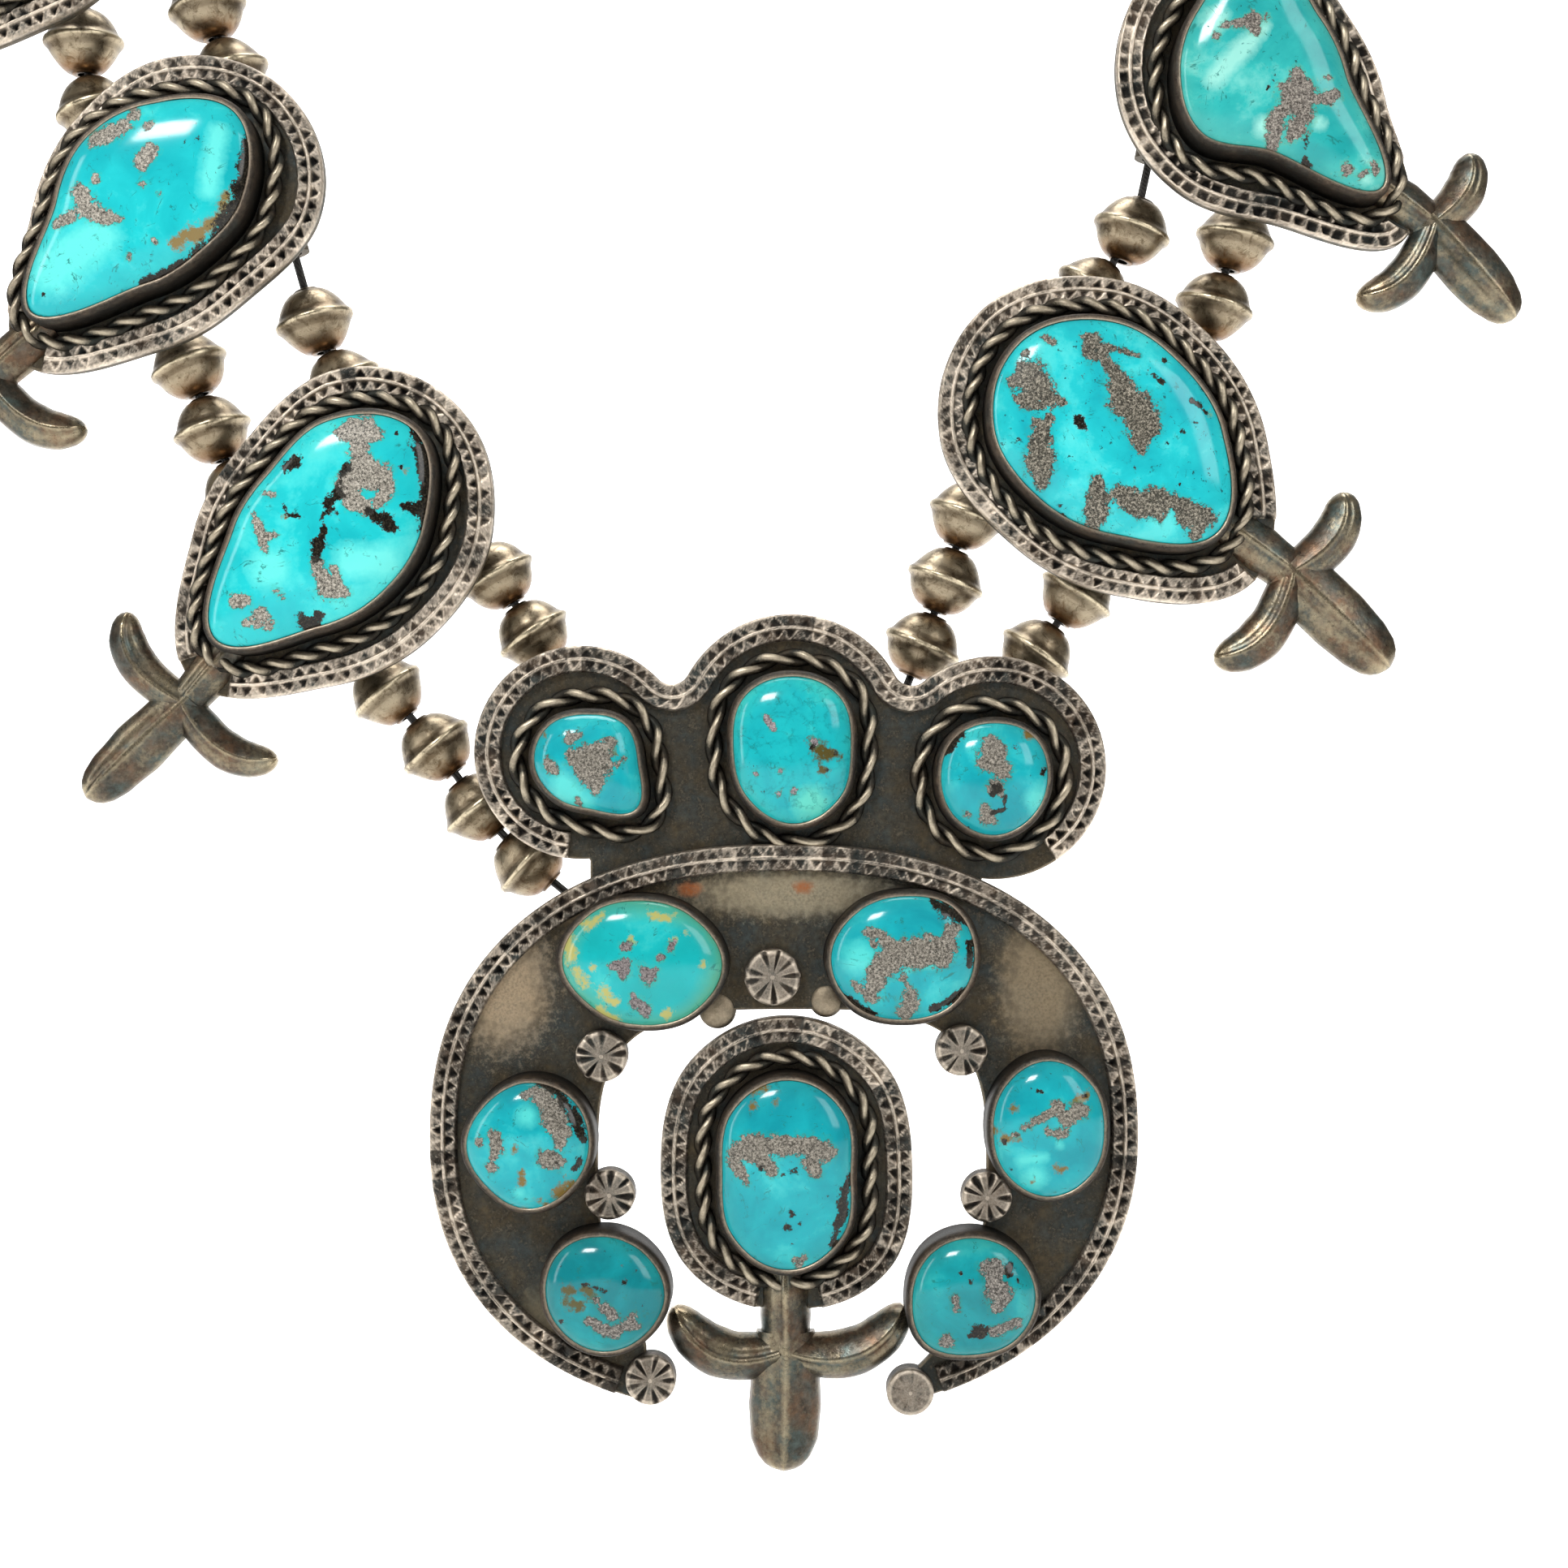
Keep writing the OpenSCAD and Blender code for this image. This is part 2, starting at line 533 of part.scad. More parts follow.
// The pendant's plate, band and ring, its cross of petals and the two supports behind it
pendant_opening = [[-3.2, -25], [7, 15]];
petal_drop = 0.5;
petal_more = 1.1;
module pendant() {
    q = pendant_plate;
    front = crescent_back + sheet_t;
    translate([q[0], q[1], 0]) {
        plate = outline(q[2], shares_of(q, 3), plate_sides);
        slab(plate, crescent_back, front);
        difference() {
            band_round(plate, front);
            translate([pendant_opening[0].x, pendant_opening[0].y, front - 1])
                cube([pendant_opening[1].x, pendant_opening[1].y, petal_h + 1]);
        }
    }
    at_stone(naja_stones[pendant_stone]) rope_ring(naja_outline(naja_stones[pendant_stone]), front);
    base = crescent_back - petal_drop;
    petal(cross + [0, stem_rise], cross + [0, stem_rise / 2], cross + [0, -stem_w / 2], stem_w, base,
          petal_h + petal_more);
    petal(cross + [0, 2], cross + [0, -drop_len / 2], cross + [-0.3, 0.6 - drop_len], drop_w, base,
          petal_h + petal_more);
    for (a = cross_arms) let (out = [(spread - 1) * naja_stones[a[4]][1], 0])
        petal(a[0], a[1] + out, a[2] + out, a[3], base, petal_h + petal_more);
    for (c = supports) translate([spread * c.x, c.y, crescent_back - 1])
        cylinder(h = sheet_t + 1 + overlap, r = c[2], $fn = round);
}

module naja_setting() {
    translate([naja.x, naja.y, 0]) {
        crown(plate_back);
        crescent();
        for (k = [0:len(naja_stones) - 1])
            let (row = naja_stones[k], edge = naja_outline(row), base = stone_base(k)) at_stone(row) {
                bezel(edge, base);
                slab(grown(edge, bezel_t), base - sheet_t + overlap / 2, base);
                if (k < first_crescent_stone) rope_ring(edge, base);
            }
        for (b = buttons) button(b);
        pendant();
    }
    for (i = [0:3]) hanger(i, hanger_at(i, 0), i == outer_left ? crescent_back : plate_back);
}

module naja_stone(k) {
    translate([naja.x, naja.y, 0]) at_stone(naja_stones[k])
        stone(naja_outline(naja_stones[k]), stone_base(k));
}

// A bead: a round body, the two flares that meet at its seam, and a collar at each hole
flare = 0.9;
module bead() {
    difference() {
        union() {
            intersection() {
                sphere(r = bead_r, $fn = round);
                cylinder(h = bead_len - 2 * overlap, r = 2 * bead_r, center = true, $fn = round);
            }
            cylinder(h = seam_t, r = seam_r, center = true, $fn = round);
            for (up = [0, 1]) mirror([0, 0, up]) translate([0, 0, seam_t / 2])
                cylinder(h = flare, r1 = seam_r, r2 = bead_r - flare / 4, $fn = round);
            cylinder(h = bead_len, r = collar_r, center = true, $fn = round);
        }
        cylinder(h = bead_len + 2, r = hole_r, center = true, $fn = round);
    }
}

module bead_string(i) {
    for (run = runs[i], s = run) let (at = place(i, s))
        translate([at.x, at.y, 0]) rotate([0, 0, heading(i, s)]) rotate([0, 90, 0]) bead();
}

thread_step = 8;
module thread(i) {
    end = strings[i][0];
    steps = ceil(end / thread_step);
    path = concat([for (k = [0:steps]) place(i, 1 + (end - 1) * k / steps)], [[side(i), arch(i)[2]]]);
    n = len(path);
    rings = [for (j = [0:n - 1])
        let (d = path[min(j + 1, n - 1)] - path[max(j - 1, 0)], o = [d.y, -d.x] / norm(d))
        [for (k = [0:5]) let (a = 60 * k, p = path[j] + thread_r * cos(a) * o) [p.x, p.y, thread_r * sin(a)]]];
    skin(rings);
}

module clasp() {
    difference() {
        union() {
            for (a = arches) translate([0, a[2], 0]) rotate([0, 90, 0])
                cylinder(h = clasp_len, r = clasp_r, center = true, $fn = round);
            translate([-clasp_len / 2 + 1, clasp_r, -clasp_r / 2]) cube([clasp_len - 2, string_gap, clasp_r]);
        }
        for (a = arches) translate([0, a[2], 0]) rotate([0, 90, 0])
            cylinder(h = clasp_len + 2, r = hole_r, center = true, $fn = round);
    }
}

module upright() {
    rotate([90, 0, 0]) children();
}

upright() color("dimgray") naja_setting();
for (k = [0:len(naja_stones) - 1])
    upright() color("darkturquoise") naja_stone(k);
for (k = [0:len(blossoms) - 1]) {
    upright() color("dimgray") blossom_setting(blossoms[k]);
    upright() color("darkturquoise") blossom_stone(blossoms[k]);
}
for (i = [0:3]) upright() color("silver") bead_string(i);
for (i = [0:3]) upright() color("black") thread(i);
upright() color("silver") clasp();
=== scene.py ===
import math
import random

import bpy
import numpy as np
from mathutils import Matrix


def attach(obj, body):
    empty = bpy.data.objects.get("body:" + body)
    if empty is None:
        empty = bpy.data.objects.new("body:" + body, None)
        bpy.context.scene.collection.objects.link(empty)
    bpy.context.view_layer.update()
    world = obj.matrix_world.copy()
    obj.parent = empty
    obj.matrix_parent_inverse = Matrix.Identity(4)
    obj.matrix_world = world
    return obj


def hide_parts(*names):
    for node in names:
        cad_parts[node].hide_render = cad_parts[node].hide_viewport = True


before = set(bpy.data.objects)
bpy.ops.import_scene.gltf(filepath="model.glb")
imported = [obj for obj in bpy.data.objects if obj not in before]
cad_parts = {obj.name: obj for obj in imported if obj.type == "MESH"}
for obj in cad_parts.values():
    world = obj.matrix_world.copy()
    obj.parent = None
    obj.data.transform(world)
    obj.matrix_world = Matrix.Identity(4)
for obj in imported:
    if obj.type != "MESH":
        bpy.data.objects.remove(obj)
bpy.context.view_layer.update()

# Squash blossom necklace: oxidised silver settings, turquoise cabochons and strings of seamed silver beads.
# Flat places are in millimetres as the maker draws them: x to the right, y up, height towards the viewer.

# Photograph
photo = {
    "size": 1932,            # pixels along each side
    "eye": (12.0, -266.6),   # where the lens stands, flat x and y
    "distance": 293.0,       # from the lens to the strings
    "reach": 2850.0,         # pixels that one unit sideways takes at one unit of depth
}


def flatFromPhoto(px, py, height):
    scale = (photo["distance"] - height) / photo["reach"]
    middle = photo["size"] / 2
    return photo["eye"][0] + (px - middle) * scale, photo["eye"][1] - (py - middle) * scale


def linearColour(code):
    parts = [int(code[i:i + 2], 16) / 255 for i in (1, 3, 5)]
    return [p / 12.92 if p <= 0.04045 else ((p + 0.055) / 1.055) ** 2.4 for p in parts] + [1.0]


# Adds one node; inputs go by name or number and take a value, a socket or another node
def addNode(tree, kind, inputs=None, **settings):
    made = tree.nodes.new("ShaderNode" + kind)
    for key, value in settings.items():
        setattr(made, key, value)
    for key, value in (inputs or {}).items():
        socket = made.inputs[key] if isinstance(key, int) else \
            next(s for s in made.inputs if s.name == key and s.enabled)
        if isinstance(value, bpy.types.Node):
            value = next(s for s in value.outputs if s.enabled)
        if isinstance(value, bpy.types.NodeSocket):
            tree.links.new(value, socket)
        else:
            socket.default_value = value
    return made


# Metres to millimetres, so that each pattern's scale reads as features a millimetre
def inMillimetres(tree):
    place = addNode(tree, "TexCoord").outputs["Object"]
    return addNode(tree, "VectorMath", {0: place, 1: (1000, 1000, 1000)}, operation="MULTIPLY")


def newMaterial(name):
    material = bpy.data.materials.new(name)
    material.use_nodes = True
    material.node_tree.nodes.clear()
    return material, material.node_tree


def finishMaterial(tree, surface):
    addNode(tree, "OutputMaterial", {"Surface": surface})


def linked(made):
    bpy.context.scene.collection.objects.link(made)
    return made


# Even steps once round, and the points of a circle of radius one at them
def turnsOf(count):
    return np.linspace(0, 2 * np.pi, count, endpoint=False)


def circle(count):
    turn = turnsOf(count)
    return np.stack([np.cos(turn), np.sin(turn)], -1)


# Camera
camera = bpy.data.cameras.new("camera")
camera.sensor_width = 36
camera.lens = camera.sensor_width * photo["reach"] / photo["size"]
camera.clip_start = 0.01
cameraObject = linked(bpy.data.objects.new("camera", camera))
cameraObject.location = (photo["eye"][0] / 1000, -photo["distance"] / 1000, photo["eye"][1] / 1000)
cameraObject.rotation_euler = (math.radians(90), 0, 0)
bpy.context.scene.camera = cameraObject

# Stage: one pale sweep, floor and backdrop
sweep = {"floor": -0.3535, "front": -1.6, "bend": 1.1, "radius": 0.7, "top": 2.4, "width": 3.4}


def makeSweep():
    profile = [(sweep["front"], sweep["floor"])]
    for k in range(13):
        a = math.radians(90 * k / 12)
        profile.append((sweep["bend"] + sweep["radius"] * math.sin(a),
                        sweep["floor"] + sweep["radius"] * (1 - math.cos(a))))
    profile.append((sweep["bend"] + sweep["radius"], sweep["top"]))
    points, faces = [], []
    for y, z in profile:
        points += [(-sweep["width"] / 2, y, z), (sweep["width"] / 2, y, z)]
    for k in range(len(profile) - 1):
        faces.append((2 * k, 2 * k + 1, 2 * k + 3, 2 * k + 2))
    mesh = bpy.data.meshes.new("paperSweep")
    mesh.from_pydata(points, [], faces)
    mesh.shade_smooth()
    made = linked(bpy.data.objects.new("paperSweep", mesh))
    # Matt white paper, overexposed: it glows with painted light, full at the back and dim on the floor in
    # front of and under the strings, so that only the floor close by takes a faint shadow from the lamps
    material, tree = newMaterial("whitePaper")
    place = addNode(tree, "SeparateXYZ", {"Vector": addNode(tree, "TexCoord").outputs["Object"]})
    paintedGlow = addNode(tree, "MapRange", {"Value": place.outputs["Y"], "From Min": -0.10, "From Max": -0.04,
                                      "To Min": 0.05, "To Max": 0.3})
    paintedGlow = addNode(tree, "MapRange", {"Value": place.outputs["Y"], "From Max": 0.3, "To Min": paintedGlow})
    white = linearColour("#ffffff")
    paper = addNode(tree, "BsdfPrincipled", {"Base Color": white, "Roughness": 0.9,
                                             "Emission Color": white, "Emission Strength": paintedGlow})
    finishMaterial(tree, paper)
    mesh.materials.append(material)


makeSweep()

# Light: a small bright window high on the left, a tall one on the right, a wide lamp overhead
# and a strip on the left
lights = {
    "window": {"place": (-0.26, -0.62, 0.30), "size": (0.20, 0.14), "power": 4.2},
    "sideWindow": {"place": (0.52, -0.5, 0.05), "size": (0.22, 0.42), "power": 1.6},
    "overhead": {"place": (0.0, 0.22, 0.95), "size": (1.0, 0.5), "power": 14.0},
    "leftStrip": {"place": (-0.75, -0.35, -0.15), "size": (0.12, 0.9), "power": 2.2},
}
lampAim = (0.0, 0.0, -0.24)


def makeLight(name, row):
    lamp = bpy.data.lights.new(name, "AREA")
    lamp.shape = "RECTANGLE"
    lamp.size, lamp.size_y = row["size"]
    lamp.energy = row["power"]
    made = linked(bpy.data.objects.new(name, lamp))
    made.location = row["place"]
    aim = np.array(lampAim) - np.array(row["place"])
    flat = math.hypot(aim[0], aim[1])
    made.rotation_euler = (math.atan2(flat, -aim[2]), 0, math.atan2(aim[1], aim[0]) - math.radians(90))


for lightName, lightRow in lights.items():
    makeLight(lightName, lightRow)

world = bpy.data.worlds.new("studio")
world.use_nodes = True
# the room: bright towards the ceiling, dark below the table's edge
sky = world.node_tree
skyWay = addNode(sky, "SeparateXYZ", {"Vector": addNode(sky, "TexCoord").outputs["Generated"]})
skyLight = addNode(sky, "MapRange", {"Value": skyWay.outputs["Z"], "From Min": -0.45, "From Max": 0.7,
                                     "To Min": 0.04, "To Max": 0.5})
skyLight.interpolation_type = "SMOOTHSTEP"
room = sky.nodes["Background"]
room.inputs["Color"].default_value = linearColour("#d8d4cc")
sky.links.new(skyLight.outputs[0], room.inputs["Strength"])
bpy.context.scene.world = world
bpy.context.scene.view_settings.view_transform = "Standard"  # plain colours, so the paper is a clean white
print("camera, stage and light")

# Mesh store: grids and fans are gathered here and become one object


def newStore():
    return {"points": [], "faces": [], "fields": {}, "skins": [], "smooth": [], "uv": [], "count": 0}


matrixKinds = ("pyrite", "black", "gold", "pale")
fieldNames = ("worn", "pit", "stain") + matrixKinds


def keepPoints(store, points, fields, uv=None):
    flat = np.asarray(points, float).reshape(-1, 3)
    first = store["count"]
    store["points"].append(flat)
    store["uv"].append(np.zeros((len(flat), 2)) if uv is None else np.asarray(uv, float).reshape(-1, 2))
    for name in fieldNames:
        value = np.broadcast_to(np.asarray(fields.get(name, 0.0), float), np.shape(points)[:-1])
        store["fields"].setdefault(name, []).append(value.reshape(-1))
    store["count"] += len(flat)
    return first


def keepFaces(store, faces, skin, smooth):
    store["faces"].extend(faces)
    store["skins"].extend([skin] * len(faces))
    store["smooth"].extend([smooth] * len(faces))


# A grid of rows and columns of points; rows may close on themselves, columns too
def addGrid(store, grid, skin=0, closeRows=False, closeColumns=False, flip=False, uv=None, **fields):
    rows, columns = grid.shape[:2]
    first = keepPoints(store, grid, fields, uv)
    r = np.arange(rows if closeRows else rows - 1)
    c = np.arange(columns if closeColumns else columns - 1)
    r, c = np.meshgrid(r, c, indexing="ij")
    r2, c2 = (r + 1) % rows, (c + 1) % columns
    corners = [r * columns + c, r * columns + c2, r2 * columns + c2, r2 * columns + c]
    faces = np.stack(corners[::-1] if flip else corners, -1).reshape(-1, 4) + first
    keepFaces(store, faces.tolist(), skin, True)


def addCap(store, ring, skin=0, flip=False, smooth=False, **fields):
    first = keepPoints(store, ring, fields)
    face = list(range(first, first + len(ring)))
    keepFaces(store, [face[::-1] if flip else face], skin, smooth)


def addTriangles(store, points, triangles, skin=0, **fields):
    first = keepPoints(store, points, fields)
    keepFaces(store, (np.asarray(triangles) + first).tolist(), skin, False)


def makeObject(name, store, materials, nodes):
    points = np.vstack(store["points"])
    placed = np.stack([points[:, 0], -points[:, 2], points[:, 1]], -1) / 1000
    mesh = bpy.data.meshes.new(name)
    mesh.from_pydata(placed.tolist(), [], store["faces"])
    mesh.polygons.foreach_set("material_index", store["skins"])
    mesh.polygons.foreach_set("use_smooth", store["smooth"])
    for field in fieldNames:
        values = np.concatenate(store["fields"][field])
        if values.any():
            layer = mesh.attributes.new(field, "FLOAT", "POINT")
            layer.data.foreach_set("value", values.astype(np.float32))
    uv = np.vstack(store["uv"])
    if uv.any():
        layer = mesh.uv_layers.new(name="along")
        corners = np.empty(len(mesh.loops), np.int32)
        mesh.loops.foreach_get("vertex_index", corners)
        layer.data.foreach_set("uv", uv[corners].astype(np.float32).reshape(-1))
    for material in materials:
        mesh.materials.append(material)
    mesh.update()
    made = linked(bpy.data.objects.new(name, mesh))
    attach(made, "root")
    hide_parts(*nodes)
    return made


# Hand-made unevenness: a few slow waves round a loop or along a line, always the same for the same name
def waver(turn, name, waves=(2, 3, 5, 8), size=1.0):
    dice = random.Random(name)
    total = 0.0
    for w in waves:
        total = total + np.sin(w * turn + dice.uniform(0, 6.283)) * dice.uniform(0.4, 1) / w ** 0.5
    return size * total / len(waves) ** 0.5


# Smooth step from 0 to 1
def ease(low, high, value):
    t = np.clip((value - low) / (high - low), 0, 1)
    return t * t * (3 - 2 * t)


# Outlines: the reach in the eight compass directions, with a smooth curve through the inverse squares,
# which keeps a drop's sides straight
def reachOf(shares, turn):
    step = np.degrees(turn) / 45
    i = np.floor(step).astype(int)
    t = step - i
    s = np.array(shares) ** -2.0
    a, b, c, d = s[(i + 7) % 8], s[i % 8], s[(i + 1) % 8], s[(i + 2) % 8]
    square, cube = 2 * a - 5 * b + 4 * c - d, 3 * b - a - 3 * c + d
    return (0.5 * (2 * b + (c - a) * t + square * t * t + cube * t ** 3)) ** -0.5


def outline(size, shares, sides):
    return (size * reachOf(shares, turnsOf(sides)))[:, None] * circle(sides)


def mirrored(shares):
    return [shares[(12 - i) % 8] for i in range(8)]


def outward(path, closed=True):
    if closed:
        along = np.roll(path, -1, 0) - np.roll(path, 1, 0)
    else:
        along = np.gradient(path, axis=0)
    side = np.stack([along[:, 1], -along[:, 0]], -1)
    return side / (np.linalg.norm(side, axis=1, keepdims=True) + 1e-12)


def grown(path, by):
    return path + by * outward(path)


# Points at even distances along a path
def resampled(path, count, closed=True):
    ring = np.vstack([path, path[:1]]) if closed else path
    run = np.concatenate([[0], np.cumsum(np.linalg.norm(np.diff(ring, axis=0), axis=1))])
    marks = np.linspace(0, run[-1], count, endpoint=not closed)
    return np.stack([np.interp(marks, run, ring[:, k]) for k in (0, 1)], -1), run[-1]


def lifted(path, height):
    return np.concatenate([path, np.broadcast_to(np.asarray(height, float), path.shape[:1])[:, None]], -1)


# Sheet silver, sawn out and filed: flat faces with a filed edge, a little uneven
sheet = {"filed": 0.3, "back": 5.3}


def addSheet(store, path, back, front, skin=0):
    filed = sheet["filed"]
    rings = [(filed, back), (0.06, back + 0.1), (0, back + filed), (0, front - filed), (0.08, front - 0.09),
             (filed, front)]
    grid = np.stack([lifted(path - d * outward(path), h) for d, h in rings])
    worn = np.array([0, 0.2, 0.3, 0.35, 0.7, 0.25])[:, None] * np.ones(len(path))
    addGrid(store, grid, skin, closeColumns=True, worn=worn)
    addCap(store, grid[-1], skin, worn=0.15)
    addCap(store, grid[0], skin, flip=True, worn=0.25)


# Stamped band: two rows of wedge-shaped pits on either side of a raised line
band = {"width": 3.3, "height": 1.0, "ridge": 0.25, "ridgeHalf": 0.24, "ridgeFades": 0.36, "pitch": 1.74,
        "depth": 0.7, "perStamp": 8, "start": 0.2, "reach": 1.36}
bandHalf = [1.66, 1.65, 1.6, 1.5, 1.36, 1.2, 1.0, 0.8, 0.62, 0.46, 0.34, 0.24, 0.12]
bandAcross = np.array(bandHalf + [0] + [-v for v in reversed(bandHalf)])


# How deep the pits are struck, the bright lines round their rims and the painted light on one wall of each
# pit, over the whole band
def stampsOf(dice, stamps, mark, pitch, v, edge, soft, blunt):
    k = np.minimum(mark.astype(int), stamps - 1)
    pits, lines, paintedLight = np.zeros(v.shape), np.zeros(v.shape), np.zeros(v.shape)
    for sign in (1, -1):
        shift = dice.normal(0, 0.07, stamps) + (0.12 if sign > 0 else -0.1)
        depth = np.clip(dice.normal(0.92, 0.16, stamps), 0.35, 1.15)
        wide = np.clip(dice.normal(1.0, 0.10, stamps), 0.7, 1.2) * blunt
        tall = np.clip(dice.normal(1.0, 0.07, stamps), 0.8, 1.12)
        lean = dice.normal(0, 0.10, stamps)
        # each pit is a triangle struck with a chisel, no two quite alike
        low, high = band["start"], band["reach"] * tall[k]
        left, right = -0.5 * pitch * wide[k] + 0.03, 0.5 * pitch * wide[k] - 0.03
        tipPlace = dice.normal(0, 0.16, stamps)[k]
        tipHalf = (0.04 if blunt <= 1.05 else 0.42) * pitch
        place = ((mark - k - 0.5 - shift[k]) * pitch)[:, None] - lean[k][:, None] * edge
        rise = (high - low)[:, None]
        share = (edge - low) / rise
        toLeft = (place - (left[:, None] + share * (tipPlace - tipHalf - left)[:, None])) * 0.87
        toRight = ((right[:, None] + share * (tipPlace + tipHalf - right)[:, None]) - place) * 0.87
        inside = np.minimum(np.minimum(toLeft, toRight), np.minimum(edge - low, (1.02 - share) * rise))
        inside = np.where(np.sign(v) == sign, inside, -1)
        tilt = 1 + dice.normal(0, 0.25, stamps)[k][:, None] * (place / pitch) * 2
        cut = np.clip(inside / 0.3, 0, 1) ** 0.8 * depth[k][:, None] * tilt * (1 - 0.5 * soft[:, None])
        pits = np.maximum(pits, cut)
        burr = np.clip(dice.normal(0.75, 0.4, stamps), 0, 1.4)[k][:, None]
        lines = np.maximum(lines, np.exp(-((inside + 0.02) / 0.12) ** 2) * burr)
        # painted light: one wall of each cut is painted bright as if lit from one side, mostly the same side
        # for all pits, and the other wall stays black
        faces = dice.choice([1, 1, 1, -1], stamps)[k][:, None] * place / pitch + 0.25 * (share - 0.5)
        paintedShine = dice.uniform(0.1, 1, stamps)[k][:, None]
        paintedLight = np.maximum(paintedLight, np.clip(inside / 0.12, 0, 1) * ease(0.02, 0.3, faces) * paintedShine)
    return pits, lines, paintedLight


# Where a petal crosses the band it sinks away; keep says which rows are left
def sunkenAt(inGap, height):
    fade = np.ones(len(inGap))
    for n in range(1, 3):
        near = inGap | np.roll(inGap, n) | np.roll(inGap, -n)
        fade = np.where(near, np.minimum(fade, (n - 1) / 2), fade)
    fade = fade[:, None]
    height = np.where(fade < 1, np.minimum(height, band["height"] * fade - 0.1), height)
    return height, ~(inGap & np.roll(inGap, 1) & np.roll(inGap, -1))


def addBand(store, centreLine, base, name, skin=0, closed=True, gap=None, blunt=1.0, rub=0.0):
    dice = np.random.default_rng(sum(ord(c) * (k + 3) for k, c in enumerate(name)))
    length = resampled(centreLine, 4, closed)[1]
    stamps = int(round(length / band["pitch"]))
    count = stamps * band["perStamp"] + (0 if closed else 1)
    line, length = resampled(centreLine, count, closed)
    side = outward(line, closed)
    pitch = length / stamps
    mark = np.arange(count) / band["perStamp"]
    k = np.minimum(mark.astype(int), stamps - 1)
    turn = 2 * np.pi * mark / stamps
    width = band["width"] * (1 + waver(turn, name + "w", (3, 7, 11), 0.035))
    scale = (width / band["width"])[:, None]
    v = bandAcross[None, :] * scale
    # where wear has left the stamps shallow
    soft = ease(-0.9, 1.1, waver(turn, name + "s", (1, 2, 4, 7), 1.6))
    height = np.full(v.shape, band["height"])
    edge = np.abs(v) / scale
    height -= 0.55 * ease(1.36, 1.66, edge) ** 2
    height[:, [0, -1]] = -0.1
    swayed = np.abs(v + waver(turn, name + "r", (3, 5, 9), 0.08)[:, None])
    ridge = 1 - ease(band["ridgeHalf"] / 2, band["ridgeFades"], swayed)
    pits, lines, paintedLight = stampsOf(dice, stamps, mark, pitch, v, edge, soft, blunt)
    ridge = ridge * ease(-1.3, 0.4, waver(turn, name + "l", (5, 8, 13, 21), 1.5))[:, None]
    height += band["ridge"] * ridge * (1 - 0.4 * soft[:, None])
    height -= band["depth"] * pits
    rough = dice.normal(0, 0.022, v.shape)
    height[:, 1:-1] += rough[:, 1:-1] + waver(turn, name + "h", (4, 9, 15), 0.05)[:, None]
    keep = np.ones(count, bool)
    if gap is not None:
        height, keep = sunkenAt(gap(line), height)
    if not closed:
        height[[0, -1]] = -0.1
    flat = line[:, None, :] + v[..., None] * side[:, None, :]
    grid = np.concatenate([flat, (base + height)[..., None]], -1)
    each = dice.normal(0, 0.16, stamps)[k][:, None]
    rim = ease(1.25, 1.5, edge) * np.where(v > 0, 1, 0.3)
    clouds = waver(turn, name + "b", (2, 5, 9, 13), 0.24)[:, None]
    # worn and pit take the painted light on the lit wall of each pit
    worn = np.clip(0.36 + rub + each + 0.38 * ridge + 0.42 * rim + 0.5 * lines - 0.5 * pits * (1 - paintedLight)
                   + 0.3 * paintedLight + rough * 6 + clouds, 0, 1.3)
    worn[:, [0, -1]] = 0.25
    pit = np.clip(pits * 0.95 * (1 - 0.75 * paintedLight) - 0.1, 0, 1)
    # columns run from the outer edge inwards, so that the faces look at the viewer
    starts = np.flatnonzero(~keep)
    if len(starts) == 0:
        addGrid(store, grid, skin, closeRows=closed, worn=worn, pit=pit)
        return
    order = np.roll(np.arange(count), -(starts[-1] + 1))
    order = order[keep[order]]
    addGrid(store, grid[order], skin, worn=worn[order], pit=pit[order])


# Twisted wire: two round wires laid round each other
wire = {"radius": 0.57, "twist": 0.54, "crest": 3.3, "step": 0.33, "sides": 8, "lift": 1.0, "tall": 2.2,
        # how far it lies outside the stone's edge, and how the crown's wires are wound and how they stray
        "away": 2.3, "looseCrest": 4.0, "loose": 0.12}


def roundWire(middle):
    ahead = np.roll(middle, -1, 0) - np.roll(middle, 1, 0)
    ahead /= np.linalg.norm(ahead, axis=1, keepdims=True)
    first = np.cross(ahead, np.broadcast_to([0.0, 0.0, 1.0], ahead.shape))
    first /= np.linalg.norm(first, axis=1, keepdims=True)
    second = np.cross(first, ahead)
    across = circle(wire["sides"])
    return middle[:, None, :] + wire["radius"] * (across[None, :, :1] * first[:, None, :]
                                                  + across[None, :, 1:] * second[:, None, :])


def addTwistedWire(store, centreLine, base, name, skin=0, crest=None, loose=0.0):
    length = resampled(centreLine, 4)[1]
    turns = max(1, int(round(length / (2 * (crest or wire["crest"])))))
    count = int(length / wire["step"])
    line, length = resampled(centreLine, count)
    side = outward(line)
    mark = np.arange(count) / count
    turn = 2 * np.pi * mark
    line = line + waver(turn, name, (3, 4, 7), 0.10 + loose)[:, None] * side
    for strand in (0, 1):
        angle = -2 * np.pi * turns * mark + np.pi * strand + waver(turn, name + "t", (2, 5, 6), 0.35)
        swing = wire["twist"] * (1 + loose * 0.5)
        out = swing * np.cos(angle)
        up = base + wire["lift"] + swing * np.sin(angle)
        ring = roundWire(np.concatenate([line + out[:, None] * side, up[:, None]], -1))
        top = np.clip((ring[..., 2] - base) / wire["tall"], 0, 1)
        a = turnsOf(wire["sides"])
        uv = np.stack(np.broadcast_arrays(mark[:, None] * length, (a / (2 * np.pi))[None, :]), -1)
        addGrid(store, ring, skin, closeRows=True, closeColumns=True, uv=uv,
                worn=0.05 + 0.95 * ease(0.55, 1.0, top), pit=1 - ease(0.0, 0.55, top))


# Bezel: a tall plain strip whose lip is rubbed over the stone
bezel = {"height": 4.9, "gap": 0.12, "thick": 0.5, "over": 0.3, "lip": 0.35}


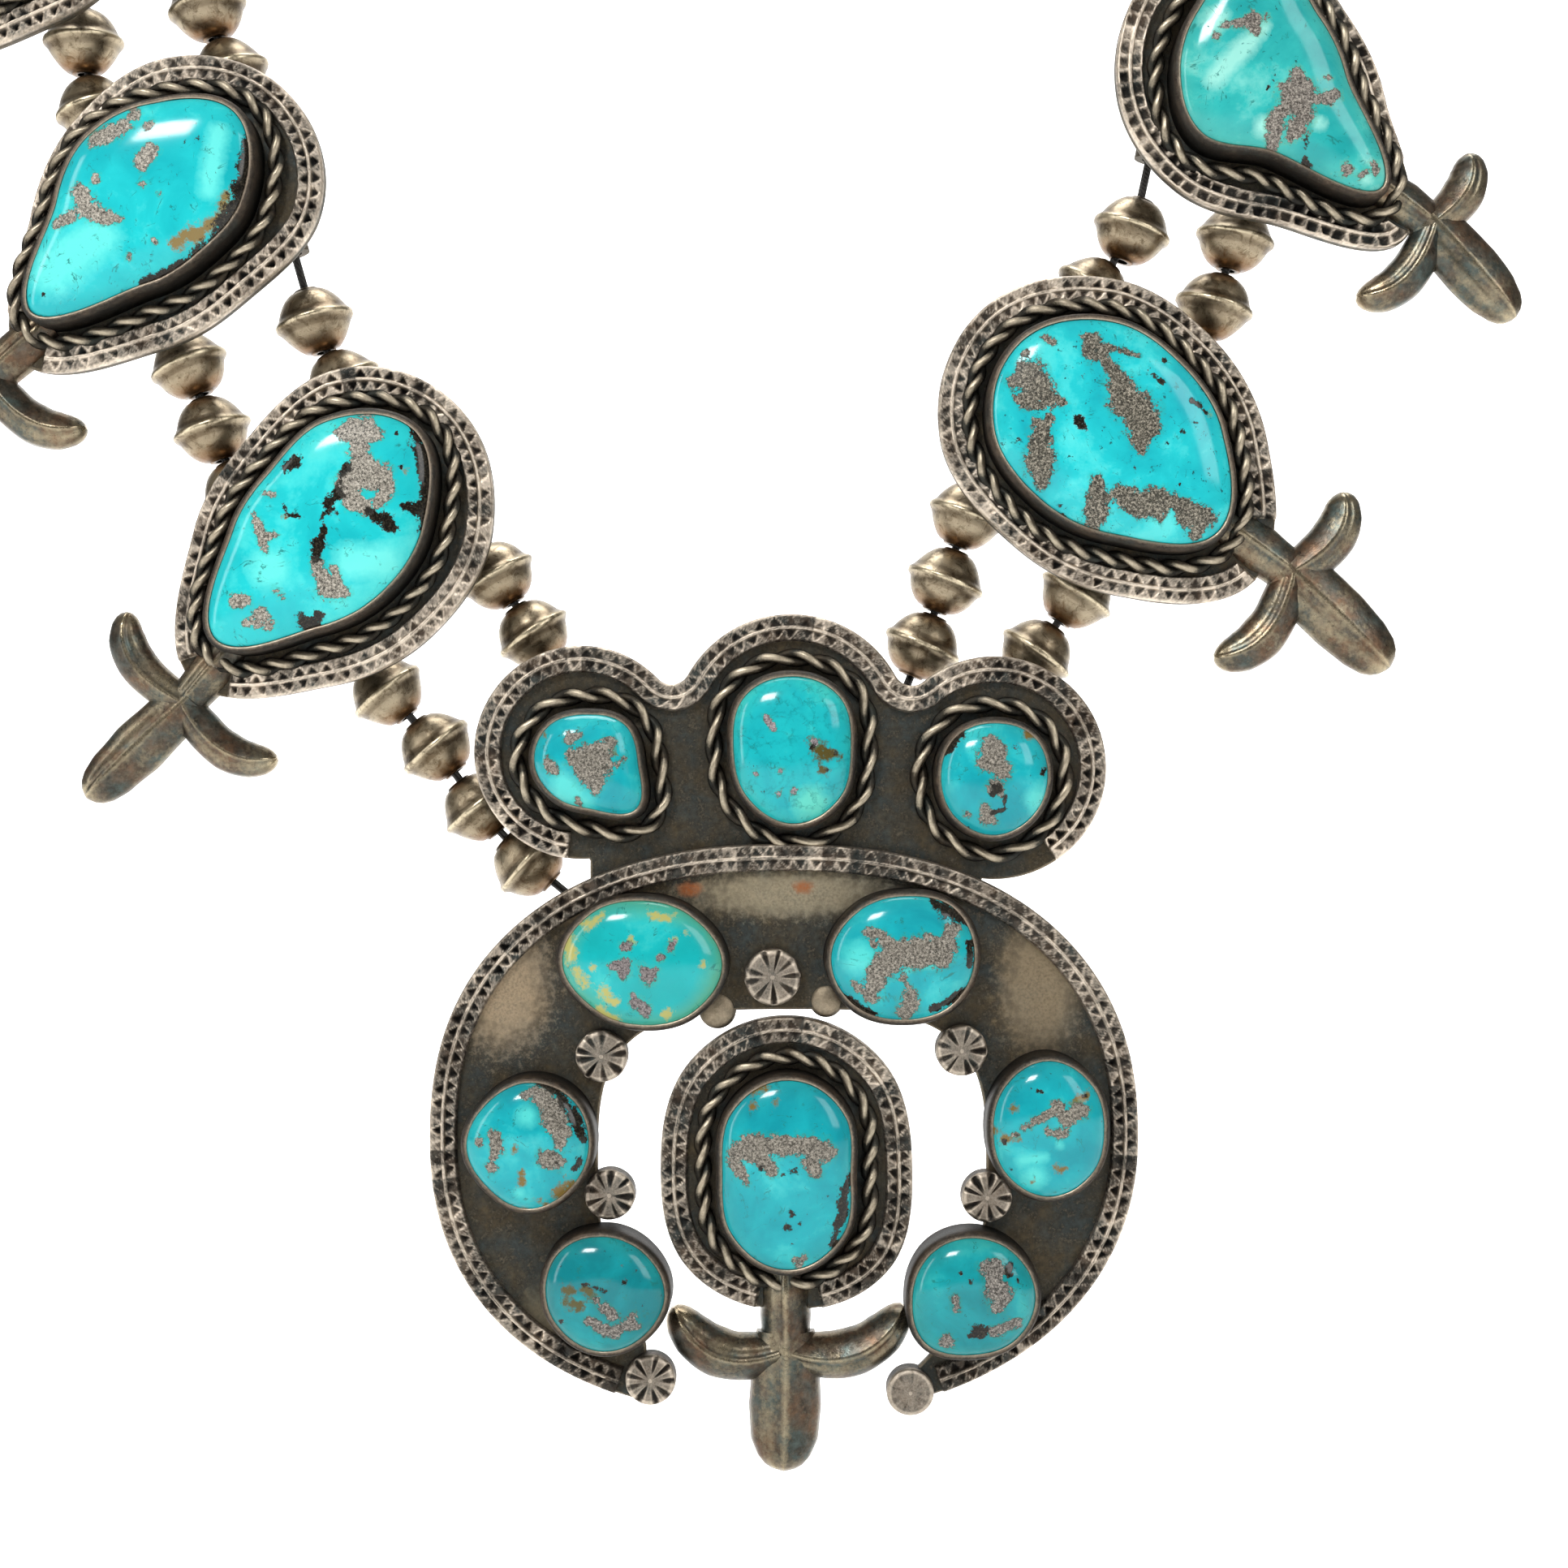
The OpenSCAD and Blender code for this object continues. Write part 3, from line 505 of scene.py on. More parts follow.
def addBezel(store, path, base, name, skin=0):
    turn = turnsOf(len(path))
    side = outward(path)
    lipWave = waver(turn, name, (3, 7, 12, 19), 0.07)
    topWave = waver(turn, name + "top", (2, 5, 9), 0.06) - 0.06
    outer = bezel["gap"] + bezel["thick"]
    over = bezel["over"]
    # how far out, how high, how worn, how dark, and whether the lip's unevenness moves it
    # the dark share grows towards the wall's foot, and the last ring, tucked under the lip against the stone,
    # is painted black as the shadow in the gap
    rings = [(outer + 0.06, -0.1, 0, 1, 0), (outer, 0.5, 0, 0.8, 0), (outer, 2.4, 0.05, 0.55, 0),
             (outer, 3.8, 0.1, 0.4, 0), (outer - 0.05, 4.25, 0.1, 0.25, 1),
             (outer - 0.17, 4.6, 0.05, 0.1, 1), (outer - 0.34, 4.84, 0.05, 0, 1), (0.06, 4.9, 0.4, 0, 1),
             (-over * 0.6, 4.84, 1.0, 0, 1), (-over, 4.66, 0.35, 0.4, 1), (-over + 0.1, 4.3, 0, 1, 1)]
    grid, worn, pit = [], [], []
    for d, h, w, p, moves in rings:
        reach = d + (lipWave if moves and d < 0.3 else 0 * lipWave)
        grid.append(lifted(path + reach[:, None] * side, base + h + moves * topWave))
        worn.append(w + 0 * turn)
        pit.append(p + 0 * turn)
    addGrid(store, np.stack(grid), skin, closeColumns=True, worn=np.stack(worn), pit=np.stack(pit))
    addCap(store, lifted(path, base + 0.05), skin)


# Petals: cast leaves with a rounded back, a raised midrib and blunt tips.
# Each row of the run is a share of the length with the shares of the width and the height there
petalRun = np.array([[0, 0.8, 0.9], [0.22, 0.96, 1], [0.5, 1, 1], [0.75, 0.9, 0.92], [0.88, 0.73, 0.8],
                     [0.94, 0.57, 0.66], [0.98, 0.37, 0.48], [1, 0.14, 0.3]])
petal = {"along": 34, "across": 21, "height": 3.2, "pendantHeight": 4.3, "rib": 0.1, "bow": 0.45}


def addPetal(store, start, bend, end, width, base, name, height=None, skin=0):
    height = height or petal["height"]
    start, bend, end = (np.array(p, float) for p in (start, bend, end))
    t = np.linspace(0, 1, petal["along"])
    t = 1 - (1 - t) ** 1.35
    line = ((1 - t) ** 2)[:, None] * start + (2 * t * (1 - t))[:, None] * bend + (t ** 2)[:, None] * end
    ahead = (1 - t)[:, None] * (bend - start) + t[:, None] * (end - bend)
    side = np.stack([ahead[:, 1], -ahead[:, 0]], -1)
    side /= np.linalg.norm(side, axis=1, keepdims=True)
    wide = np.interp(t, petalRun[:, 0], petalRun[:, 1]) * (1 + waver(6.28 * t, name, (1, 2, 3), 0.03))
    tall = np.interp(t, petalRun[:, 0], petalRun[:, 2])
    v = np.linspace(-1, 1, petal["across"])
    v = np.sign(v) * np.abs(v) ** 0.8
    rib = np.exp(-(np.abs(v) / petal["rib"]) ** 1.5)
    section = 0.15 + 0.85 * (1 - np.abs(v)) ** petal["bow"] - 0.07 * np.exp(-((v - 0.26) / 0.13) ** 2)
    across = np.concatenate([v, [0.97, 0, -0.97]])
    up = np.concatenate([section, [0.05, 0.0, 0.05]])
    # the midrib and the edges are rubbed bright; the flank on one side, where the hollow runs, is lighter by
    # painted light
    worn = np.concatenate([0.12 + 0.42 * rib + 0.25 * ease(0.1, 0.4, v) * (1 - ease(0.5, 0.9, v))
                           + 0.18 * ease(0.8, 0.97, np.abs(v)), [0.0, 0.0, 0.0]])
    reach = line[:, None, :] + (across[None, :, None] * side[:, None, :]) * (wide * width / 2)[:, None, None]
    lift = base + up[None, :] * tall[:, None] * height
    grid = np.concatenate([reach, lift[..., None]], -1)
    tipAndClouds = 0.3 * ease(0.8, 1, t) + waver(6.28 * t, name + "b", (1, 2, 4), 0.16)
    worn = np.clip(worn[None, :] + tipAndClouds[:, None], 0, 1.2)
    addGrid(store, grid, skin, closeColumns=True, worn=worn, flip=True)
    addCap(store, grid[-1], skin, worn=0.8, flip=True)
    addCap(store, grid[0], skin, worn=0.2)


# Stones: cabochons with hand-ground domes
stone = {"dome": 2.9, "rise": 0.6, "clear": 0.12, "rings": 30,
         # the height at which the photograph's markings lie, and a pixel's width there
         "top": 14.0, "pixel": 0.049}


def strokeField(points, strokes):
    best = np.full(len(points), -1.5)
    for stroke in strokes:
        ends = [(np.array(flatFromPhoto(px, py, stone["top"])), width * stone["pixel"])
                for px, py, width in zip(stroke[::3], stroke[1::3], stroke[2::3])]
        for (a, wideA), (b, wideB) in list(zip(ends, ends[1:])) or [(ends[0], ends[0])]:
            run = b - a
            t = np.clip(((points - a) @ run) / (run @ run + 1e-9), 0, 1)
            far = np.linalg.norm(points - a - t[:, None] * run, axis=1)
            half = wideA + (wideB - wideA) * t
            best = np.maximum(best, (half - far) / (0.35 + 0.5 * half))
    return best


def addStone(store, path, base, place, name, chart, skin=0):
    turn = turnsOf(len(path))
    girdle = base + bezel["height"] - bezel["lip"] - stone["rise"]
    share = np.sin(np.linspace(np.pi / 2, 0, stone["rings"] + 1)[:-1]) ** 0.9
    dome = (1 - share ** 2.4) ** 0.5
    grid = [lifted(place(path), base + stone["clear"])]
    rim = np.append(1.0, share)[:, None] * np.ones(len(path))
    for s, h in zip(share, dome):
        wave = waver(turn, name, (1, 2, 3), 0.10) * ease(0.1, 0.5, s) * (1 - s ** 4)
        grid.append(lifted(place(path * s), girdle + h * stone["dome"] + wave))
    grid = np.stack(grid)
    flatPoints = grid[..., :2].reshape(-1, 2)
    fields = {}
    for kind in matrixKinds:
        fields[kind] = strokeField(flatPoints, chart.get(kind, [])).reshape(grid.shape[:2])
    fields["worn"] = rim
    addGrid(store, grid, skin, closeColumns=True, **fields)
    last = grid[-1]
    middle = last.mean(0)
    middle[2] = girdle + stone["dome"]
    first = keepPoints(store, np.vstack([last, middle[None]]),
                       {k: np.append(f[-1], f[-1].mean()) for k, f in fields.items()})
    n = len(last)
    keepFaces(store, [[first + i, first + (i + 1) % n, first + n] for i in range(n)], skin, True)
    addCap(store, grid[0], skin, flip=True)


# Where the sheet's tarnish has been rubbed off or rust has stained it: middle x, y, reach x, y, tint
sheetPlaces = [(13, -280.2, 14.5, 3.2, "#9d927a"), (-22.5, -291.5, 6.5, 9, "#a9967b"),
               (43.5, -291.5, 5.5, 10, "#8d7e66"), (-12, -281.5, 9, 3.2, "#8a7a60"),
               (0.4, -279.6, 1.6, 1.1, "#9a5526"), (14.4, -279.3, 1.5, 0.9, "#94501f"),
               (-24.5, -289.5, 1.6, 1.3, "#7d4a28"), (-18, -333, 3, 5, "#6b6350")]

# Silver: each finish says its dark tarnish, its bare metal and how far handling has brightened it
silverFinishes = {
    # Sheet blackened with sulphide: nearly black, mottled brown and blue, barely rubbed
    "blackenedSilverSheet": {"dark": "#22211c", "brown": "#4e4433", "blue": "#3b4140", "bare": "#a89a84",
                             "rub": -0.08, "rough": (0.6, 0.38), "grain": 0.4, "grainSize": 0.5,
                             "places": sheetPlaces},
    # Stamped strip: pits stay black, the raised parts are rubbed to a pinkish grey
    "stampedSilverBand": {"dark": "#15120f", "brown": "#5d4f42", "blue": "#3d4240", "bare": "#d2c5b4",
                          "rub": 0.05, "rough": (0.6, 0.34), "grain": 0.5, "grainSize": 0.35},
    # Drawn wire, twisted: bright along the crests with fine drawing lines, black between
    "twistedSilverWire": {"dark": "#14120f", "brown": "#40382c", "blue": "#2c2f2b", "bare": "#c9bca5",
                          "rub": -0.2, "rough": (0.5, 0.26), "grain": 0.3, "grainSize": 0.35, "lines": 7},
    # Rolled strip, burnished over the stone: pale lip, brownish wall
    "burnishedSilverBezel": {"dark": "#1f1b17", "brown": "#52463a", "blue": "#3a3a36", "bare": "#ab9c8a",
                             "rub": -0.05, "rough": (0.55, 0.3), "grain": 0.3, "grainSize": 0.5},
    # Cast petals: smooth olive and plum tarnish, bright along the midrib
    "castSilverPetal": {"dark": "#29251f", "brown": "#644d3a", "blue": "#4a5450", "bare": "#bfb193",
                        "rub": -0.05, "rough": (0.3, 0.2), "grain": 0.35, "grainSize": 0.9},
}


def makeSilver(name, finish):
    material, tree = newMaterial(name)
    inMm = inMillimetres(tree)
    dark, brown, blue, bare = (linearColour(finish[key]) for key in ("dark", "brown", "blue", "bare"))
    broad = addNode(tree, "TexNoise", {"Vector": inMm, "Scale": 0.22, "Detail": 4, "Roughness": 0.6})
    middling = addNode(tree, "TexNoise", {"Vector": inMm, "Scale": 0.9, "Detail": 5, "Roughness": 0.65})
    fine = addNode(tree, "TexNoise", {"Vector": inMm, "Scale": 1.6 / finish["grainSize"], "Detail": 4,
                                      "Roughness": 0.7})
    worn = addNode(tree, "Attribute", attribute_name="worn").outputs["Fac"]
    pit = addNode(tree, "Attribute", attribute_name="pit").outputs["Fac"]
    patch = addNode(tree, "MapRange", {"Value": broad, "From Min": 0.38, "From Max": 0.62})
    tarnish = addNode(tree, "Mix", {"Factor": patch, 6: brown, 7: blue}, data_type="RGBA")
    patch = addNode(tree, "MapRange", {"Value": middling, "From Min": 0.35, "From Max": 0.68})
    tarnish = addNode(tree, "Mix", {"Factor": patch, 6: tarnish, 7: dark}, data_type="RGBA")
    # rubbed share: what stands proud, broken up by the finer patches
    sway = addNode(tree, "Math", {0: middling, 1: 0.9, 2: -0.45 + finish["rub"]}, operation="MULTIPLY_ADD")
    sway = addNode(tree, "Math", {0: fine, 1: 0.7, 2: sway}, operation="MULTIPLY_ADD")
    rubbed = addNode(tree, "Math", {0: worn, 1: sway}, operation="ADD")
    rubbed = addNode(tree, "MapRange", {"Value": rubbed, "From Min": 0.45, "From Max": 1.45})
    colour = addNode(tree, "Mix", {"Factor": rubbed, 6: tarnish, 7: bare}, data_type="RGBA")
    for x, y, wide, tall, tint in finish.get("places", ()):
        off = addNode(tree, "VectorMath", {0: inMm, 1: (-x, 0, -y)}, operation="ADD")
        off = addNode(tree, "VectorMath", {0: off, 1: (1 / wide, 0, 1 / tall)}, operation="MULTIPLY")
        far = addNode(tree, "VectorMath", {0: off}, operation="LENGTH").outputs["Value"]
        ragged = addNode(tree, "Math", {0: middling, 1: 1.3, 2: far}, operation="MULTIPLY_ADD")
        ragged = addNode(tree, "Math", {0: fine, 1: 1.1, 2: ragged}, operation="MULTIPLY_ADD")
        share = addNode(tree, "MapRange", {"Value": ragged, "From Min": 2.3, "From Max": 1.7, "To Max": 0.8})
        broken = addNode(tree, "MapRange", {"Value": fine, "From Min": 0.35, "From Max": 0.6, "To Min": 0.55})
        share = addNode(tree, "Math", {0: share, 1: broken}, operation="MULTIPLY")
        colour = addNode(tree, "Mix", {"Factor": share, 6: colour, 7: linearColour(tint)}, data_type="RGBA")
    deep = addNode(tree, "MapRange", {"Value": pit, "From Min": 0.15, "From Max": 0.85})
    colour = addNode(tree, "Mix", {"Factor": deep, 6: colour, 7: linearColour("#0e0c0a")}, data_type="RGBA")
    dull, bright = finish["rough"]
    rough = addNode(tree, "MapRange", {"Value": rubbed, "To Min": dull, "To Max": bright})
    rough = addNode(tree, "Math", {0: rough, 1: -0.11}, operation="ADD")
    rough = addNode(tree, "Math", {0: fine, 1: 0.25, 2: rough}, operation="MULTIPLY_ADD")
    metal = addNode(tree, "MapRange", {"Value": rubbed, "From Max": 0.5, "To Min": 0.75})
    relief = fine
    if "lines" in finish:
        drawn = addNode(tree, "UVMap", uv_map="along")
        split = addNode(tree, "SeparateXYZ", {"Vector": drawn})
        turn = finish["lines"] * 6.2832
        lines = addNode(tree, "Math", {0: split.outputs["Y"], 1: turn}, operation="MULTIPLY")
        lines = addNode(tree, "Math", {0: lines}, operation="SINE")
        relief = addNode(tree, "Math", {0: lines, 1: 0.18, 2: fine}, operation="MULTIPLY_ADD")
    bump = addNode(tree, "Bump", {"Height": relief, "Strength": finish["grain"], "Distance": 0.00012})
    finishMaterial(tree, addNode(tree, "BsdfPrincipled", {
        "Base Color": colour, "Metallic": metal, "Roughness": rough, "Normal": bump}))
    return material


silver = [makeSilver(name, finish) for name, finish in silverFinishes.items()]
sheetSkin, bandSkin, wireSkin, bezelSkin, petalSkin = range(5)
print("silver finishes")

# Turquoise: polished, its blue clouded pale and deep, with pyrite, black and golden matrix where charted.
# "rim" is how green the rim gets, "specks" the noise from which specks show, "web" how plain the web is
turquoiseFinishes = {
    "polishedBlueTurquoise": {
        "body": "#22bfc3", "pale": "#62d6d0", "deep": "#12a2ab", "green": "#3fa08c", "rim": 0.15,
        "ore": ("#2c2a26", "#7f7a70", "#bab4a8"), "earth": "#7d6a3e", "specks": 0.69},
    "fleckedBlueTurquoise": {
        "body": "#24bdc2", "pale": "#6bd6d2", "deep": "#149aa6", "green": "#2f9086", "rim": 0.15,
        "ore": ("#1b1a16", "#4c4940", "#a19a8b"), "earth": "#6f9470", "specks": 0.635},
    "polishedDeepTurquoise": {
        "body": "#19a5ae", "pale": "#4fc2bd", "deep": "#0d8692", "green": "#348a78", "rim": 0.2,
        "ore": ("#2c2a26", "#6c675e", "#9f998e"), "earth": "#6f5a2c", "specks": 0.68},
    "darkTealTurquoise": {
        "body": "#189aa0", "pale": "#3da9a3", "deep": "#0c727a", "green": "#2f7463", "rim": 0.3,
        "ore": ("#272522", "#5f5b56", "#a09a92"), "earth": "#4f4a2a", "specks": 0.66},
    "polishedGreenTurquoise": {
        "body": "#36aeaa", "pale": "#8fcfc4", "deep": "#1c8f90", "green": "#5b9c80", "rim": 0.2,
        "ore": ("#2d2a26", "#66605a", "#a09a90"), "earth": "#7d6a3e", "specks": 0.68},
    "rimmedGreenTurquoise": {
        "body": "#17a9ae", "pale": "#4fbfb2", "deep": "#109799", "green": "#47957a", "rim": 0.9,
        "ore": ("#332f31", "#6c6565", "#958e8d"), "earth": "#a3a05e", "specks": 0.69},
    "webbedTurquoise": {
        "body": "#1eafb3", "pale": "#58bfae", "deep": "#1197a0", "green": "#37907a", "rim": 0.3,
        "ore": ("#433e41", "#7d7477", "#a39a9c"), "earth": "#4f4520", "specks": 0.69, "web": 0.5},
}


# Pyrite: grey grains, some pale, some almost black
def makePyrite(tree, inMm, ore):
    grain = addNode(tree, "TexNoise", {"Vector": inMm, "Scale": 3.4, "Detail": 3, "Roughness": 0.85})
    ramp = addNode(tree, "ValToRGB", {"Fac": grain})
    dark, middling, pale = (linearColour(code) for code in ore)
    stops = ramp.color_ramp.elements
    stops[0].position, stops[0].color = 0.38, dark
    stops[1].position, stops[1].color = 0.64, pale
    stops.new(0.5).color = middling
    return ramp


# Fine dark lines between the small nodules, lost in places
def makeWeb(tree, inMm, ragged, crumb, web):
    wide = (2.6, 2.6, 2.6)
    bent = addNode(tree, "VectorMath", {0: ragged.outputs["Color"], 1: wide}, operation="MULTIPLY")
    bent = addNode(tree, "VectorMath", {0: bent, 1: inMm}, operation="ADD")
    cells = addNode(tree, "TexVoronoi", {"Vector": bent, "Scale": 0.5}, feature="DISTANCE_TO_EDGE")
    line = addNode(tree, "Math", {0: crumb, 1: 0.2, 2: cells}, operation="MULTIPLY_ADD")
    line = addNode(tree, "MapRange", {"Value": line, "From Min": 0.2, "From Max": 0.1, "To Max": web})
    kept = addNode(tree, "MapRange", {"Value": ragged, "From Min": 0.42, "From Max": 0.58, "To Min": 0.1})
    return addNode(tree, "Math", {0: line, 1: kept}, operation="MULTIPLY")


def makeTurquoise(name, finish):
    material, tree = newMaterial(name)
    inMm = inMillimetres(tree)
    body, pale, deep, green = (linearColour(finish[key]) for key in ("body", "pale", "deep", "green"))
    cloud = addNode(tree, "TexNoise", {"Vector": inMm, "Scale": 0.13, "Detail": 5, "Roughness": 0.55,
                                       "Distortion": 0.4})
    ragged = addNode(tree, "TexNoise", {"Vector": inMm, "Scale": 0.75, "Detail": 5, "Roughness": 0.68})
    crumb = addNode(tree, "TexNoise", {"Vector": inMm, "Scale": 3.2, "Detail": 3, "Roughness": 0.7})
    share = addNode(tree, "MapRange", {"Value": cloud, "From Min": 0.36, "From Max": 0.66})
    colour = addNode(tree, "Mix", {"Factor": share, 6: deep, 7: body}, data_type="RGBA")
    # the charted pale strokes are paler stone and, on some stones, painted highlights and reflections of the
    # lamps
    charted = addNode(tree, "Attribute", attribute_name="pale").outputs["Fac"]
    charted = addNode(tree, "Math", {0: ragged, 1: 1.6, 2: charted}, operation="MULTIPLY_ADD")
    charted = addNode(tree, "MapRange", {"Value": charted, "From Min": 0.1, "From Max": 1.5, "To Max": 0.9})
    high = addNode(tree, "Math", {0: ragged, 1: 0.35, 2: cloud}, operation="MULTIPLY_ADD")
    high = addNode(tree, "MapRange", {"Value": high, "From Min": 0.72, "From Max": 0.9, "To Max": 0.45})
    share = addNode(tree, "Math", {0: charted, 1: high}, operation="MAXIMUM")
    colour = addNode(tree, "Mix", {"Factor": share, 6: colour, 7: pale}, data_type="RGBA")
    rim = addNode(tree, "Attribute", attribute_name="worn").outputs["Fac"]
    rim = addNode(tree, "Math", {0: cloud, 1: 0.5, 2: rim}, operation="MULTIPLY_ADD")
    rim = addNode(tree, "MapRange", {"Value": rim, "From Min": 0.95, "From Max": 1.25,
                                     "To Max": finish["rim"]})
    colour = addNode(tree, "Mix", {"Factor": rim, 6: colour, 7: green}, data_type="RGBA")
    # hairline cracks, filled with darker stone, where the slow noise crosses its middle value
    crack = addNode(tree, "TexNoise", {"Vector": inMm, "Scale": 0.2, "Detail": 4, "Roughness": 0.6,
                                       "Distortion": 0.8})
    crack = addNode(tree, "Math", {0: crack, 1: -0.5}, operation="ADD")
    crack = addNode(tree, "Math", {0: crack}, operation="ABSOLUTE")
    crack = addNode(tree, "MapRange", {"Value": crack, "From Min": 0.013, "From Max": 0.003, "To Max": 0.8})
    here = addNode(tree, "MapRange", {"Value": ragged, "From Min": 0.5, "From Max": 0.6})
    share = addNode(tree, "Math", {0: crack, 1: here}, operation="MULTIPLY")
    colour = addNode(tree, "Mix", {"Factor": share, 6: colour, 7: linearColour("#1d6a66")}, data_type="RGBA")
    if "web" in finish:
        share = makeWeb(tree, inMm, ragged, crumb, finish["web"])
        colour = addNode(tree, "Mix", {"Factor": share, 6: colour, 7: linearColour("#0b6a68")},
                         data_type="RGBA")
    patches = {}
    for kind, sway, soft in (("gold", 5.4, 0.6), ("pyrite", 3.0, 0.12), ("black", 3.4, 0.14)):
        shaken = addNode(tree, "Attribute", attribute_name=kind).outputs["Fac"]
        for grain, by in ((ragged, sway), (crumb, 1.6)):
            shaken = addNode(tree, "Math", {0: shaken, 1: -0.5 * by}, operation="ADD")
            shaken = addNode(tree, "Math", {0: grain, 1: by, 2: shaken}, operation="MULTIPLY_ADD")
        if kind == "pyrite":
            # a green halo runs round the grey matrix, dark at its edge
            halo = addNode(tree, "MapRange", {"Value": shaken, "From Min": -0.7, "From Max": 0.05,
                                              "To Max": 0.55})
            colour = addNode(tree, "Mix", {"Factor": halo, 6: colour, 7: green}, data_type="RGBA")
            edge = addNode(tree, "MapRange", {"Value": shaken, "From Min": -0.14, "From Max": -0.02,
                                              "To Max": 0.8})
            colour = addNode(tree, "Mix", {"Factor": edge, 6: colour, 7: linearColour("#2b3532")},
                             data_type="RGBA")
        patches[kind] = addNode(tree, "MapRange", {"Value": shaken, "From Min": -soft / 2, "From Max": soft})
        if kind == "gold":
            tint = linearColour(finish["earth"])
        elif kind == "black":
            share = addNode(tree, "MapRange", {"Value": crumb, "From Min": 0.5, "From Max": 0.7})
            tint = addNode(tree, "Mix", {"Factor": share, 6: linearColour("#15130f"),
                                         7: linearColour("#3f3a30")}, data_type="RGBA")
        else:
            tint = makePyrite(tree, inMm, finish["ore"])
        colour = addNode(tree, "Mix", {"Factor": patches[kind], 6: colour, 7: tint}, data_type="RGBA")
    # stray dark specks all over
    speck = addNode(tree, "TexNoise", {"Vector": inMm, "Scale": 0.9, "Detail": 3, "Roughness": 0.9})
    speck = addNode(tree, "MapRange", {"Value": speck, "From Min": finish["specks"],
                                       "From Max": finish["specks"] + 0.05, "To Max": 0.8})
    colour = addNode(tree, "Mix", {"Factor": speck, 6: colour, 7: linearColour("#1d2a28")}, data_type="RGBA")
    rough = addNode(tree, "MapRange", {"Value": patches["pyrite"], "To Min": 0.12, "To Max": 0.38})
    relief = addNode(tree, "Math", {0: crumb, 1: patches["pyrite"]}, operation="MULTIPLY")
    relief = addNode(tree, "Math", {0: patches["black"], 1: -1.0, 2: relief}, operation="MULTIPLY_ADD")
    bump = addNode(tree, "Bump", {"Height": relief, "Strength": 0.3, "Distance": 0.0002})
    finishMaterial(tree, addNode(tree, "BsdfPrincipled", {
        "Base Color": colour, "Roughness": rough, "Normal": bump, "IOR": 1.61, "Specular IOR Level": 0.2}))
    return material


turquoise = {name: makeTurquoise(name, finish) for name, finish in turquoiseFinishes.items()}
print("turquoise finishes")
